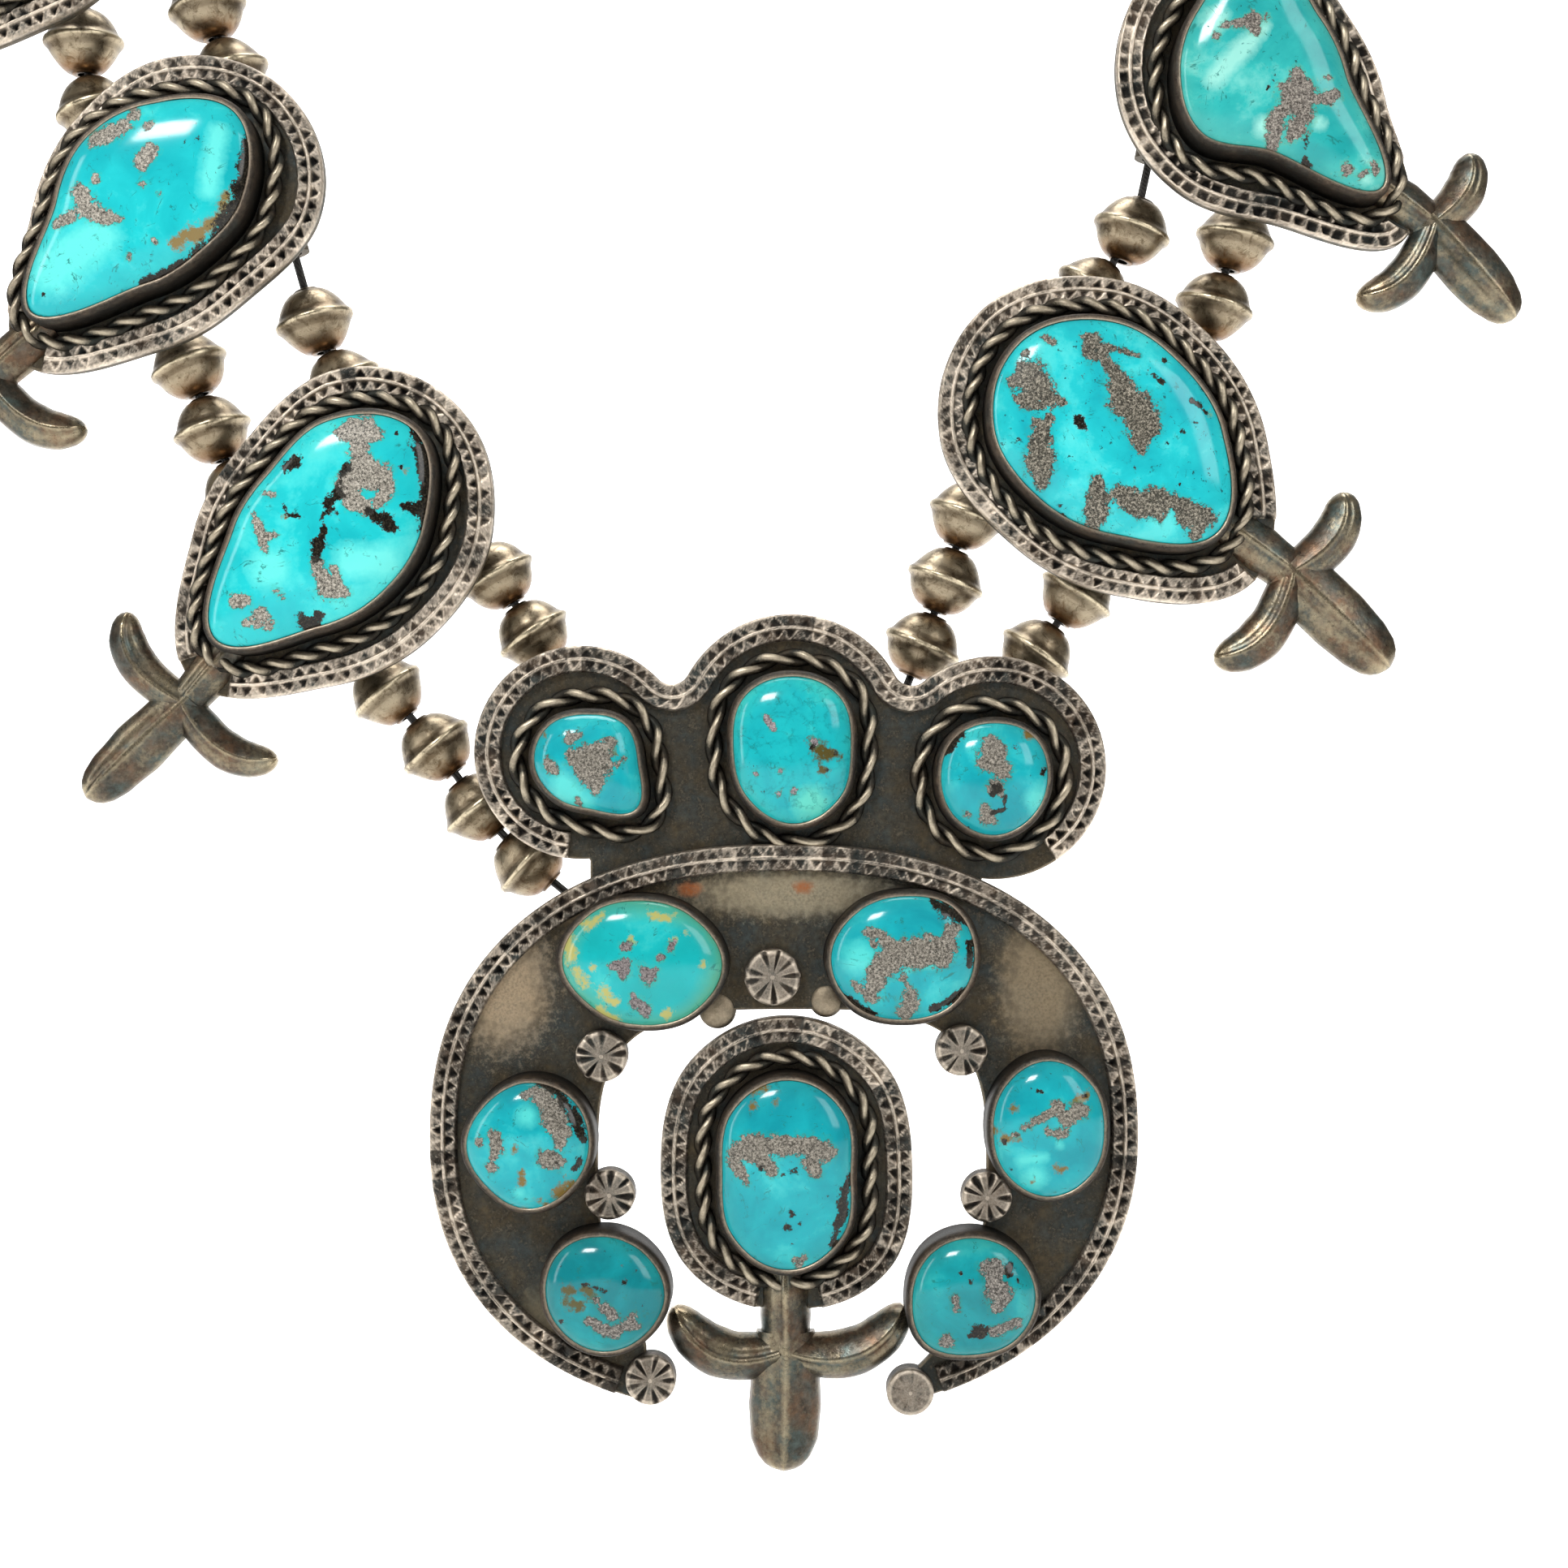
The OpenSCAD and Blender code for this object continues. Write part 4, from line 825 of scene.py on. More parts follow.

# Stones: where the matrix and the pale marks lie, as strokes seen in the photograph; a stroke is [x, y,
# width, x, y, width...] in the photograph's pixels. The pale strokes are paler stone, and on some stones,
# such as left_1, left_2 and right_2, painted highlights and reflections of the lamps
charts = {
    "left_1": {"pyrite": [[420, 530, 24, 440, 528, 38, 458, 532, 22], [440, 546, 24, 442, 562, 26,
        447, 578, 50], [430, 595, 34, 432, 614, 26, 450, 626, 16], [468, 588, 34, 474, 605, 20,
        464, 620, 14], [310, 633, 8, 316, 650, 13, 322, 666, 14, 326, 678, 8], [320, 659, 10, 338, 658, 7],
        [322, 606, 7, 335, 609, 8], [388, 690, 13, 392, 706, 16, 402, 722, 27, 420, 728, 16], [410, 700, 10,
        414, 716, 10], [288, 740, 17, 302, 737, 12], [318, 755, 16, 330, 768, 9], [334, 725, 7, 346, 735, 6],
        [300, 766, 9, 326, 773, 7]], "black": [[503, 520, 8, 512, 545, 18, 521, 575, 20, 526, 610, 24,
        522, 642, 26], [494, 620, 8, 512, 626, 22], [452, 628, 10, 468, 637, 19, 483, 648, 15],
        [426, 572, 12, 420, 586, 8], [416, 608, 18, 402, 622, 12, 412, 631, 10], [352, 573, 16,
        362, 567, 19], [396, 636, 4, 396, 660, 11, 390, 672, 19, 388, 686, 13], [370, 765, 19, 385, 773, 25],
        [388, 757, 14], [485, 531, 5], [493, 573, 9], [345, 618, 4, 353, 633, 6, 372, 637, 4], [390, 600, 4],
        [420, 640, 3]], "gold": [[496, 576, 9], [352, 634, 8]], "pale": [[430, 690, 40, 470, 690, 40],
        [330, 700, 50]]},
    "left_2": {"pyrite": [[172, 196, 16, 182, 186, 23, 175, 204, 10], [115, 218, 12], [92, 230, 18,
        100, 245, 25], [105, 255, 23, 125, 265, 22, 146, 270, 10], [86, 262, 16, 64, 272, 12], [108, 168, 16,
        130, 160, 26, 150, 150, 18], [160, 136, 18], [178, 150, 14], [175, 227, 9], [195, 238, 5],
        [155, 315, 8], [188, 295, 6]], "black": [[302, 140, 10, 300, 190, 20, 296, 230, 28, 288, 262, 46,
        262, 295, 28, 225, 322, 20, 170, 343, 10], [48, 360, 6], [132, 243, 4], [226, 172, 4],
        [240, 168, 6]], "gold": [[275, 240, 20, 270, 262, 18, 235, 286, 22, 212, 297, 14], [110, 165, 20,
        140, 152, 18]], "pale": [[60, 330, 60, 120, 290, 50], [265, 160, 24, 255, 230, 24]]},
    "right_1": {"pyrite": [[1345, 416, 20, 1352, 430, 30], [1366, 425, 8, 1386, 430, 6, 1406, 436, 5],
        [1364, 445, 16, 1376, 460, 20], [1380, 470, 30, 1386, 490, 40, 1404, 505, 46, 1410, 525, 40,
        1405, 545, 20, 1408, 558, 10], [1254, 465, 22, 1270, 460, 36, 1281, 480, 37, 1296, 492, 18,
        1313, 495, 8], [1264, 490, 24, 1286, 498, 12], [1285, 523, 22, 1285, 545, 26, 1283, 570, 35,
        1285, 590, 18], [1295, 514, 12], [1352, 590, 14, 1355, 615, 29, 1352, 640, 25], [1380, 606, 20,
        1400, 618, 34, 1430, 618, 37, 1446, 618, 20], [1456, 620, 20, 1466, 635, 28, 1486, 636, 28,
        1478, 655, 19], [1290, 412, 9, 1300, 418, 7], [1265, 432, 9]], "black": [[1425, 460, 8,
        1436, 470, 6], [1470, 490, 7, 1490, 505, 6], [1458, 530, 8], [1440, 545, 5], [1455, 594, 9],
        [1476, 520, 6], [1500, 555, 6], [1310, 620, 7], [1311, 634, 9], [1330, 517, 13, 1336, 527, 9],
        [1418, 450, 5], [1438, 440, 6], [1400, 575, 5], [1258, 540, 5], [1335, 460, 6], [1445, 512, 5],
        [1488, 475, 6]], "gold": [[1345, 411, 15], [1402, 512, 16], [1480, 642, 14], [1345, 620, 9],
        [1378, 456, 14], [1495, 505, 9]]},
    "right_2": {"pyrite": [[1512, 28, 9, 1530, 25, 12, 1548, 22, 17, 1548, 36, 14], [1561, 20, 10],
        [1500, 40, 9], [1600, 90, 18, 1605, 105, 30, 1592, 112, 31], [1604, 124, 34], [1620, 122, 16,
        1640, 118, 15, 1650, 112, 14], [1640, 92, 9], [1585, 134, 17, 1572, 142, 16, 1575, 160, 20,
        1572, 173, 14], [1609, 140, 22, 1601, 155, 22, 1590, 166, 12], [1662, 203, 15], [1697, 199, 12,
        1700, 208, 9], [1680, 212, 7, 1690, 205, 6]], "black": [[1612, 165, 3, 1612, 190, 4, 1618, 201, 10],
        [1575, 90, 3, 1562, 108, 3], [1490, 27, 7], [1560, 184, 6]], "pale": [[1560, 30, 14, 1530, 60, 26,
        1500, 92, 26], [1560, 152, 22], [1628, 150, 16], [1690, 215, 14], [1500, 20, 30]]},
    "crown_left": {"pyrite": [[715, 935, 32, 738, 932, 36, 728, 948, 42, 735, 964, 18], [702, 910, 14,
        712, 905, 9], [678, 945, 18, 672, 938, 11], [752, 914, 12], [733, 974, 10], [711, 988, 11],
        [766, 934, 8, 760, 942, 6]], "gold": [[751, 925, 14, 762, 931, 8], [668, 905, 7]],
        "pale": [[694, 970, 34, 716, 988, 26]]},
    "crown_middle": {"pyrite": [[944, 884, 8, 953, 897, 7], [979, 975, 10], [930, 953, 6], [960, 978, 6],
        [963, 948, 6], [1004, 914, 9]], "black": [[1000, 920, 8], [1030, 927, 7], [984, 950, 4],
        [1020, 949, 5], [940, 976, 4]], "gold": [[997, 916, 13, 1012, 925, 24, 1029, 928, 18],
        [1015, 948, 15]], "pale": [[1000, 990, 40]]},
    "crown_right": {"pyrite": [[1225, 911, 14, 1225, 928, 35, 1215, 940, 20, 1235, 946, 22, 1238, 957, 12],
        [1225, 968, 20, 1232, 975, 14], [1213, 994, 11, 1220, 1008, 17, 1226, 1013, 9], [1193, 1004, 8]],
        "black": [[1220, 965, 7, 1230, 973, 13, 1224, 979, 8], [1160, 932, 10, 1174, 914, 19, 1190, 893, 9],
        [1240, 978, 5, 1238, 995, 5, 1225, 1001, 5], [1251, 920, 7], [1288, 950, 7], [1195, 1022, 6]],
        "gold": [[1229, 956, 10], [1270, 905, 10]], "pale": [[1280, 985, 30]]},
    "upper_left": {"pyrite": [[772, 1165, 13], [757, 1190, 12, 770, 1190, 19, 768, 1198, 12], [793, 1192, 10,
        800, 1202, 19, 808, 1195, 9], [780, 1225, 7, 783, 1235, 14, 796, 1245, 15], [826, 1168, 10,
        831, 1160, 5], [815, 1180, 8]], "gold": [[700, 1160, 16, 706, 1180, 14], [740, 1130, 9,
        720, 1140, 11], [714, 1200, 16, 719, 1211, 12], [745, 1220, 15, 758, 1235, 12], [735, 1250, 18,
        756, 1256, 11], [800, 1125, 10, 826, 1131, 9], [846, 1150, 8], [776, 1158, 10], [831, 1158, 8],
        [820, 1250, 13], [866, 1190, 9], [730, 1190, 9]]},
    "upper_right": {"pyrite": [[1098, 1182, 34, 1120, 1175, 36, 1146, 1172, 37, 1166, 1165, 26],
        [1098, 1165, 20, 1085, 1152, 14, 1069, 1150, 12], [1076, 1163, 9], [1165, 1160, 20, 1173, 1147, 20,
        1181, 1142, 10], [1166, 1180, 18, 1158, 1190, 12], [1085, 1190, 26, 1078, 1206, 25, 1072, 1222, 21,
        1075, 1232, 11], [1060, 1220, 10, 1052, 1212, 9], [1121, 1231, 25, 1117, 1245, 21], [1112, 1205, 10],
        [1117, 1212, 4, 1122, 1222, 4]], "black": [[1150, 1112, 10, 1166, 1122, 18, 1187, 1135, 13],
        [1196, 1162, 9, 1196, 1188, 9], [1038, 1226, 11, 1054, 1240, 13, 1076, 1251, 9], [1150, 1244, 11,
        1170, 1234, 13, 1191, 1221, 9]], "pale": [[1115, 1196, 8, 1126, 1188, 9, 1150, 1190, 6],
        [1060, 1180, 40]]},
    "side_left": {"pyrite": [[645, 1350, 8, 656, 1344, 13], [668, 1352, 24, 678, 1365, 29, 685, 1380, 31,
        692, 1392, 24, 699, 1398, 12], [690, 1406, 15], [610, 1402, 18, 615, 1415, 15, 608, 1426, 9],
        [590, 1408, 11], [605, 1438, 13], [672, 1425, 20, 686, 1430, 20]], "black": [[657, 1331, 12,
        672, 1337, 12, 690, 1350, 9, 705, 1375, 13, 713, 1392, 17, 719, 1405, 9], [713, 1430, 11,
        708, 1441, 8], [686, 1432, 6]], "gold": [[689, 1470, 20, 703, 1460, 19], [641, 1456, 13,
        642, 1444, 8], [665, 1480, 9], [645, 1492, 7], [672, 1486, 7], [635, 1415, 8]],
        "pale": [[640, 1470, 12], [650, 1375, 24]]},
    "side_right": {"pyrite": [[1298, 1358, 9, 1314, 1375, 21, 1333, 1368, 17], [1280, 1378, 11,
        1296, 1370, 9], [1261, 1389, 8, 1276, 1380, 9], [1310, 1396, 13, 1292, 1393, 9], [1250, 1398, 7]],
        "black": [[1238, 1408, 6], [1336, 1350, 6], [1245, 1442, 5], [1270, 1342, 4, 1282, 1345, 4]],
        "gold": [[1325, 1362, 14, 1336, 1352, 15], [1239, 1405, 12, 1249, 1402, 11], [1248, 1365, 13],
        [1270, 1386, 7], [1225, 1394, 11], [1303, 1440, 9, 1317, 1440, 7], [1272, 1456, 8]],
        "pale": [[1260, 1430, 16, 1286, 1425, 10], [1305, 1410, 9], [1275, 1450, 28]]},
    "lower_left": {"pyrite": [[745, 1610, 14, 756, 1620, 13], [728, 1628, 14, 740, 1636, 13, 755, 1641, 17,
        762, 1636, 13], [780, 1619, 10, 776, 1632, 12, 786, 1635, 8], [735, 1600, 11]],
        "black": [[719, 1580, 4, 746, 1590, 4], [690, 1630, 5], [765, 1560, 4], [770, 1580, 6],
        [785, 1565, 4]], "gold": [[696, 1588, 13, 706, 1590, 11], [725, 1588, 15, 733, 1599, 15],
        [700, 1605, 17, 716, 1608, 13]]},
    "lower_right": {"pyrite": [[1214, 1561, 17, 1225, 1565, 24, 1225, 1580, 22, 1230, 1592, 31,
        1241, 1598, 14, 1230, 1606, 20], [1176, 1599, 9, 1178, 1611, 10], [1225, 1640, 14, 1245, 1632, 14,
        1256, 1632, 9], [1166, 1653, 17]], "black": [[1243, 1561, 9, 1244, 1573, 9], [1206, 1640, 21,
        1195, 1645, 11], [1254, 1577, 5], [1195, 1578, 6], [1185, 1568, 5]]},
    "pendant": {"pyrite": [[912, 1420, 27, 925, 1410, 25, 950, 1412, 23, 975, 1410, 23, 995, 1412, 27,
        1012, 1420, 28, 1025, 1419, 12], [904, 1430, 16, 915, 1445, 14, 920, 1457, 8], [935, 1425, 25,
        948, 1436, 16, 952, 1446, 11], [1000, 1430, 21, 1005, 1441, 16], [984, 1556, 15, 991, 1550, 9]],
        "black": [[938, 1439, 8], [925, 1443, 6], [975, 1430, 5], [981, 1440, 7, 965, 1446, 5],
        [975, 1495, 9], [969, 1512, 11], [986, 1505, 6], [975, 1533, 4], [1046, 1452, 9, 1040, 1475, 15,
        1038, 1495, 15, 1030, 1522, 9, 1027, 1537, 11], [905, 1362, 9]], "gold": [[915, 1345, 10,
        942, 1342, 9], [955, 1361, 9], [926, 1361, 10]]},
}


def movedChart(chart, dx, dy):
    by = (dx, dy, 0)
    return {kind: [[value + by[k % 3] for k, value in enumerate(stroke)] for stroke in strokes]
            for kind, strokes in chart.items()}


# the four stones above the picture repeat the markings of those below
charts["left_3"] = movedChart(charts["right_1"], -1353, -692)
charts["left_4"] = movedChart(charts["left_1"], -352, -1292)
charts["right_3"] = movedChart(charts["left_2"], 1466, -674)
charts["right_4"] = movedChart(charts["right_2"], 26, -981)
stoneKinds = {
    "fleckedBlueTurquoise": ("right_1", "left_3"),
    "polishedGreenTurquoise": ("right_2", "left_4"),
    "rimmedGreenTurquoise": ("upper_left",),
    "webbedTurquoise": ("crown_middle",),
    "polishedDeepTurquoise": ("crown_left", "crown_right", "side_left", "side_right", "upper_right",
                              "pendant"),
    "darkTealTurquoise": ("lower_left", "lower_right"),
}


def makeStone(piece, path, base, place, name):
    kind = next((kind for kind, names in stoneKinds.items() if name in names), "polishedBlueTurquoise")
    store = newStore()
    addStone(store, path, base, place, name, charts[name])
    makeObject(piece + "_turquoise", store, [turquoise[kind]], [piece + "_stone"])


def readOut(rows, name, width, kind):
    values = np.empty(len(rows) * width, kind)
    rows.foreach_get(name, values)
    return values.reshape(-1, width)


# Hangers: the drilled tubes behind the plates are taken over from the metal below, as they are
def addHangers(store, node):
    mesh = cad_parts[node].data
    mesh.calc_loop_triangles()
    points = readOut(mesh.vertices, "co", 3, np.float32) * 1000
    triangles = readOut(mesh.loop_triangles, "vertices", 3, np.int32)
    flat = np.stack([points[:, 0], points[:, 2], -points[:, 1]], -1)
    kept = triangles[flat[triangles][..., 2].mean(1) < sheet["back"] - 0.05]
    used, again = np.unique(kept, return_inverse=True)
    addTriangles(store, flat[used], again.reshape(-1, 3), sheetSkin, worn=0.3)


# Blossoms: the plate, band, wire, bezel and petals of each of the eight
shapeStones = [
    [12.4, 1.02, 1.34, 1.03, 0.74, 0.86, 1.52, 0.99, 0.90],
    [12.4, 0.94, 1.26, 0.98, 0.88, 0.90, 1.57, 0.81, 0.72],
    [13.4, 1.01, 0.88, 1.00, 1.17, 1.09, 0.92, 0.96, 1.35],
    [11.9, 0.86, 0.83, 1.33, 0.94, 0.86, 0.89, 0.79, 1.71],
]
shapePlates = [
    [19, 1.05, 1.17, 1.05, 0.81, 0.89, 1.32, 1.00, 0.94],
    [19, 1.00, 1.14, 1.03, 0.85, 0.87, 1.33, 0.85, 0.75],
    [19.5, 0.99, 0.91, 1.02, 1.16, 1.08, 0.91, 0.98, 1.28],
    [18, 0.83, 0.81, 1.30, 1.17, 1.00, 0.86, 0.83, 1.36],
]
# [stone's offset x, y, cross distance, cross angle, long petal's angle, length, two curved petals' angle and
# length each, width of the long and of the curved petals]
shapePetals = [
    [-0.4, 0.2, 27.8, 229, 224, 17, 122, 13.2, 329, 13.3, 7.0, 5.0],
    [-1.1, 0.7, 29.5, 222, 224, 17, 122, 13.2, 333, 13.3, 7.2, 5.2],
    [-0.4, 0.5, 27.8, -36, -44, 17, 58, 11.7, 228, 14.2, 8.2, 5.7],
    [-1.1, 2.0, 25.9, -36, -48, 15.5, 64, 9.8, 224, 12.9, 7.4, 5.2],
]
blossoms = {
    "left_1": (-44.1, -235.5, 0, False, 0), "left_2": (-64.6, -196.5, 1, False, 0),
    "left_3": (-80.0, -156.3, 1, False, 6), "left_4": (-78.5, -109.0, 2, True, -12),
    "right_1": (52.4, -224.0, 2, False, 0), "right_2": (71.4, -182.0, 3, False, 0),
    "right_3": (79.0, -130.5, 1, True, -8), "right_4": (74.0, -86.0, 0, True, 10),
}
blossomSetting = {"base": 6.7, "sides": 200, "stemIn": 10, "stemMore": 0.6, "hook": 30,
                  # the long petals that reach furthest out are a little shorter
                  "outermost": ("left_4", "right_4"), "trim": 0.6,
                  # this one's band was struck with a blunter chisel
                  "blunt": {"right_2": 1.12}}


def polar(length, angle):
    return np.array([math.cos(math.radians(angle)), math.sin(math.radians(angle))]) * length


# The stem, the long petal and the two curved ones: start, bend, end, width and name
def leavesOf(name, p):
    s = blossomSetting
    middle = polar(p[2], p[3])
    stemStart = polar(p[2] - s["stemIn"], p[3])
    yield stemStart, (stemStart + middle) / 2, middle + polar(2, p[3]), p[11] + s["stemMore"], "stem"
    longPetal = p[5] - (s["trim"] if name in s["outermost"] else 0)
    halfWay, tip = (middle + polar(share * longPetal, p[4]) for share in (0.5, 1))
    yield middle - polar(1, p[4]), halfWay, tip, p[10], "long"
    hook = s["hook"] if p[4] > 0 else -s["hook"]
    for way, length, turn, leaf in ((p[6], p[7], hook, "upper"), (p[8], p[9], -hook, "lower")):
        yield middle, middle + polar(0.75 * length, way + turn), middle + polar(length, way), p[11], leaf


def makeBlossom(name, row):
    x, y, shape, isMirrored, turn = row
    side = -1 if isMirrored else 1
    spin = math.radians(turn)
    spin = np.array([[math.cos(spin), math.sin(spin)], [-math.sin(spin), math.cos(spin)]])

    def place(points):
        return np.asarray(points) @ spin + (x, y)

    def shares(table):
        return mirrored(table[shape][1:]) if isMirrored else table[shape][1:]

    s = blossomSetting
    plate = outline(shapePlates[shape][0], shares(shapePlates), s["sides"])
    edge = outline(shapeStones[shape][0], shares(shapeStones), s["sides"])
    p = shapePetals[shape]
    offset = np.array([side * p[0], p[1]])
    store = newStore()
    sawn = plate * (1 + waver(turnsOf(len(plate)), name, (5, 9, 14), 0.004))[:, None]
    addSheet(store, place(sawn), sheet["back"], s["base"], sheetSkin)
    stemAngle = 180 - p[3] if isMirrored else p[3]
    stemWay, stemHalf = polar(1, stemAngle), (p[11] + s["stemMore"]) / 2 - 0.1

    def atStem(points):
        local = (points - (x, y)) @ spin.T
        return (np.abs(local @ [-stemWay[1], stemWay[0]]) < stemHalf) & (local @ stemWay > s["stemIn"])

    addBand(store, place(grown(plate, -band["width"] / 2)), s["base"], name, bandSkin, gap=atStem,
            blunt=s["blunt"].get(name, 1.0))
    addTwistedWire(store, place(grown(edge, wire["away"]) + offset), s["base"], name, wireSkin)
    addBezel(store, place(edge + offset), s["base"], name, bezelSkin)
    flip = np.array([side, 1])
    for a, b, c, width, leaf in leavesOf(name, p):
        start, bend, end = (place(q * flip) for q in (a, b, c))
        addPetal(store, start, bend, end, width, sheet["back"], name + leaf, skin=petalSkin)
    addHangers(store, "blossom_%s_setting" % name)
    makeObject("blossom_%s_silver" % name, store, silver, ["blossom_%s_setting" % name])
    makeStone("blossom_" + name, edge, s["base"], lambda q: place(q + offset), name)


for blossomName, blossomRow in blossoms.items():
    makeBlossom(blossomName, blossomRow)
print("blossoms")

# Naja: crown, crescent, ten stones, buttons and the pendant inside
naja = (12.0, -309.9)
najaHeights = {"crown": 6.7, "crescent": 7.9, "crescentBack": 6.5}
najaStones = {
    "crown_left": (-24.1, 46.0, 6.6, 0.98, 1.01, 0.90, 0.98, 0.98, 0.89, 0.88, 1.30),
    "crown_middle": (1.0, 47.5, 7.4, 0.99, 1.18, 1.23, 1.19, 0.99, 1.10, 1.25, 1.14),
    "crown_right": (25.6, 43.9, 6.8, 0.98, 1.06, 1.03, 1.04, 0.98, 1.00, 1.03, 0.98),
    "upper_left": (-17.3, 21.6, 9.9, 1.01, 0.85, 0.78, 0.88, 0.99, 0.82, 0.78, 0.89),
    "upper_right": (14.4, 22.2, 8.9, 1.00, 0.99, 0.86, 0.90, 1.00, 0.94, 0.86, 0.94),
    "side_left": (-31.1, -0.5, 7.6, 1.00, 1.04, 1.02, 0.95, 1.00, 0.95, 1.04, 0.99),
    "side_right": (32.1, 1.5, 6.9, 1.00, 1.10, 1.22, 1.09, 1.00, 1.11, 1.22, 1.12),
    "lower_left": (-21.7, -18.6, 7.4, 1.00, 0.95, 0.97, 1.04, 1.00, 0.95, 0.96, 0.95),
    "lower_right": (23.0, -18.8, 7.6, 1.01, 0.96, 0.95, 0.98, 1.00, 1.10, 0.96, 0.99),
    "pendant": (0.5, -4.1, 8.0, 0.97, 1.26, 1.46, 1.28, 1.02, 1.26, 1.47, 1.24),
}
lobes = [(-25.1, 47.2, 13.2), (0.9, 49.6, 14.7), (26.0, 45.3, 13.8)]
lobeFillet = 2.3
crownFoot = (-24.0, 24.5, 28.5)     # left, right, lower edge


def crownArc(centre, radius, start, stop):
    turn = np.linspace(start, stop, max(4, int(abs(stop - start) * radius / 0.25)))
    return np.stack([centre[0] + radius * np.cos(turn), centre[1] + radius * np.sin(turn)], -1)


def wayTo(p, q):
    return math.atan2(q[1] - p[1], q[0] - p[0])


# The crown's edge from the lower right round over the three lobes to the lower left, drawn in by an inset
def crownEdge(inset, startTurn, stopTurn):
    centres = [np.array(l[:2]) for l in lobes]
    hollows = []
    for k in (1, 0):
        a, b = centres[k:k + 2]
        ra, rb, d = lobes[k][2] + lobeFillet, lobes[k + 1][2] + lobeFillet, np.linalg.norm(b - a)
        along = (d * d + ra * ra - rb * rb) / (2 * d)
        u = (b - a) / d
        hollows.append(a + along * u + math.sqrt(ra * ra - along * along) * np.array([-u[1], u[0]]))
    right, middle, left = centres[2], centres[1], centres[0]
    parts = [crownArc(right, lobes[2][2] - inset, startTurn, wayTo(right, hollows[0]))]
    for hollow, before, after in ((hollows[0], right, middle), (hollows[1], middle, left)):
        start, stop = wayTo(hollow, before), wayTo(hollow, after)
        stop -= 2 * math.pi if stop > start else 0
        parts.append(crownArc(hollow, lobeFillet + inset, start, stop))
        if after is middle:
            start, stop = wayTo(middle, hollows[0]), wayTo(middle, hollows[1])
            parts.append(crownArc(middle, lobes[1][2] - inset, start, stop))
    parts.append(crownArc(left, lobes[0][2] - inset, wayTo(left, hollows[1]), stopTurn))
    return np.vstack([parts[0]] + [q[1:] for q in parts[1:]])


# An oval whose four quarters have powers of their own: 2 is round, more is squarer
def ovalPath(w, up, down, powers, sides, centre=(0, 0)):
    turn = turnsOf(sides)
    c, s = np.cos(turn), np.sin(turn)
    c, s = np.where(np.abs(c) < 1e-9, 0, c), np.where(np.abs(s) < 1e-9, 0, s)
    power = 2 / np.array(powers)[np.minimum((turn / (np.pi / 2)).astype(int), 3)]
    return np.stack([w * np.sign(c) * np.abs(c) ** power + centre[0],
                     np.where(s > 0, up, down) * np.sign(s) * np.abs(s) ** power + centre[1]], -1)


# The part of a ring that is left of and right of an open gap at its foot, as one open path
def openedPath(ring, gap, foot):
    inside = (ring[:, 0] > gap[0]) & (ring[:, 0] < gap[1]) & (ring[:, 1] < foot)
    start = np.flatnonzero(inside & ~np.roll(inside, -1))[0] + 1
    path = np.roll(ring, -start, 0)[:len(ring) - inside.sum()]
    for at, edge in ((0, gap[1]), (-1, gap[0])):
        near = ring[(start - 1) % len(ring)] if at == 0 else ring[(start + len(path)) % len(ring)]
        share = (edge - path[at][0]) / (near[0] - path[at][0])
        end = (path[at] + share * (near - path[at]))[None]
        path = np.vstack([end, path]) if at == 0 else np.vstack([path, end])
    return path


h = najaHeights
move = np.array(naja)
# the crescent's rims: half width, reach up and down, powers of the quarters, points, middle
crescent = {"outer": (43.6, 35.9, 34.6, (2.3, 2.3, 2.3, 2.15), 400),
            "inner": (23.98, 19.5, 30, (3.4, 3.4, 2.3, 2.3), 300, (1, -4)),
            "gap": (-17, 16), "bandGap": (-20.2, 19), "foot": -17.3}
pendant = {"middle": (0.3, -3.4), "plate": (15.5, (1.00, 1.11, 1.17, 1.11, 1.00, 1.14, 1.17, 1.17), 200),
           # left, right and top of the stretch that its petals cover
           "covered": (-3.2, 3.8, -10)}
# the crown's band ends before the plate does; its first and last direction
crownBandEnds = (-0.98, math.pi + 1.45)
# the collar under a bezel on the crescent: how far out, how deep and how high
collar = {"out": 0.55, "down": 1.35, "up": 0.02}
najaSides = {"crown": 560, "crescent": 900, "bezel": 140, "stone": 110, "support": 40}
pendantPlate = outline(*pendant["plate"]) + pendant["middle"]
supports = [(-8.2, 15.4, 2.3), (5.2, 16.6, 2.1)]
# share of the radius, height and wear of each ring of a support
supportRings = [(1, 5.6, 0.2), (1, 7.4, 0.35), (0.95, 7.75, 0.5), (0.8, 8.05, 0.7), (0.5, 8.28, 0.8),
                (0.15, 8.36, 0.8)]


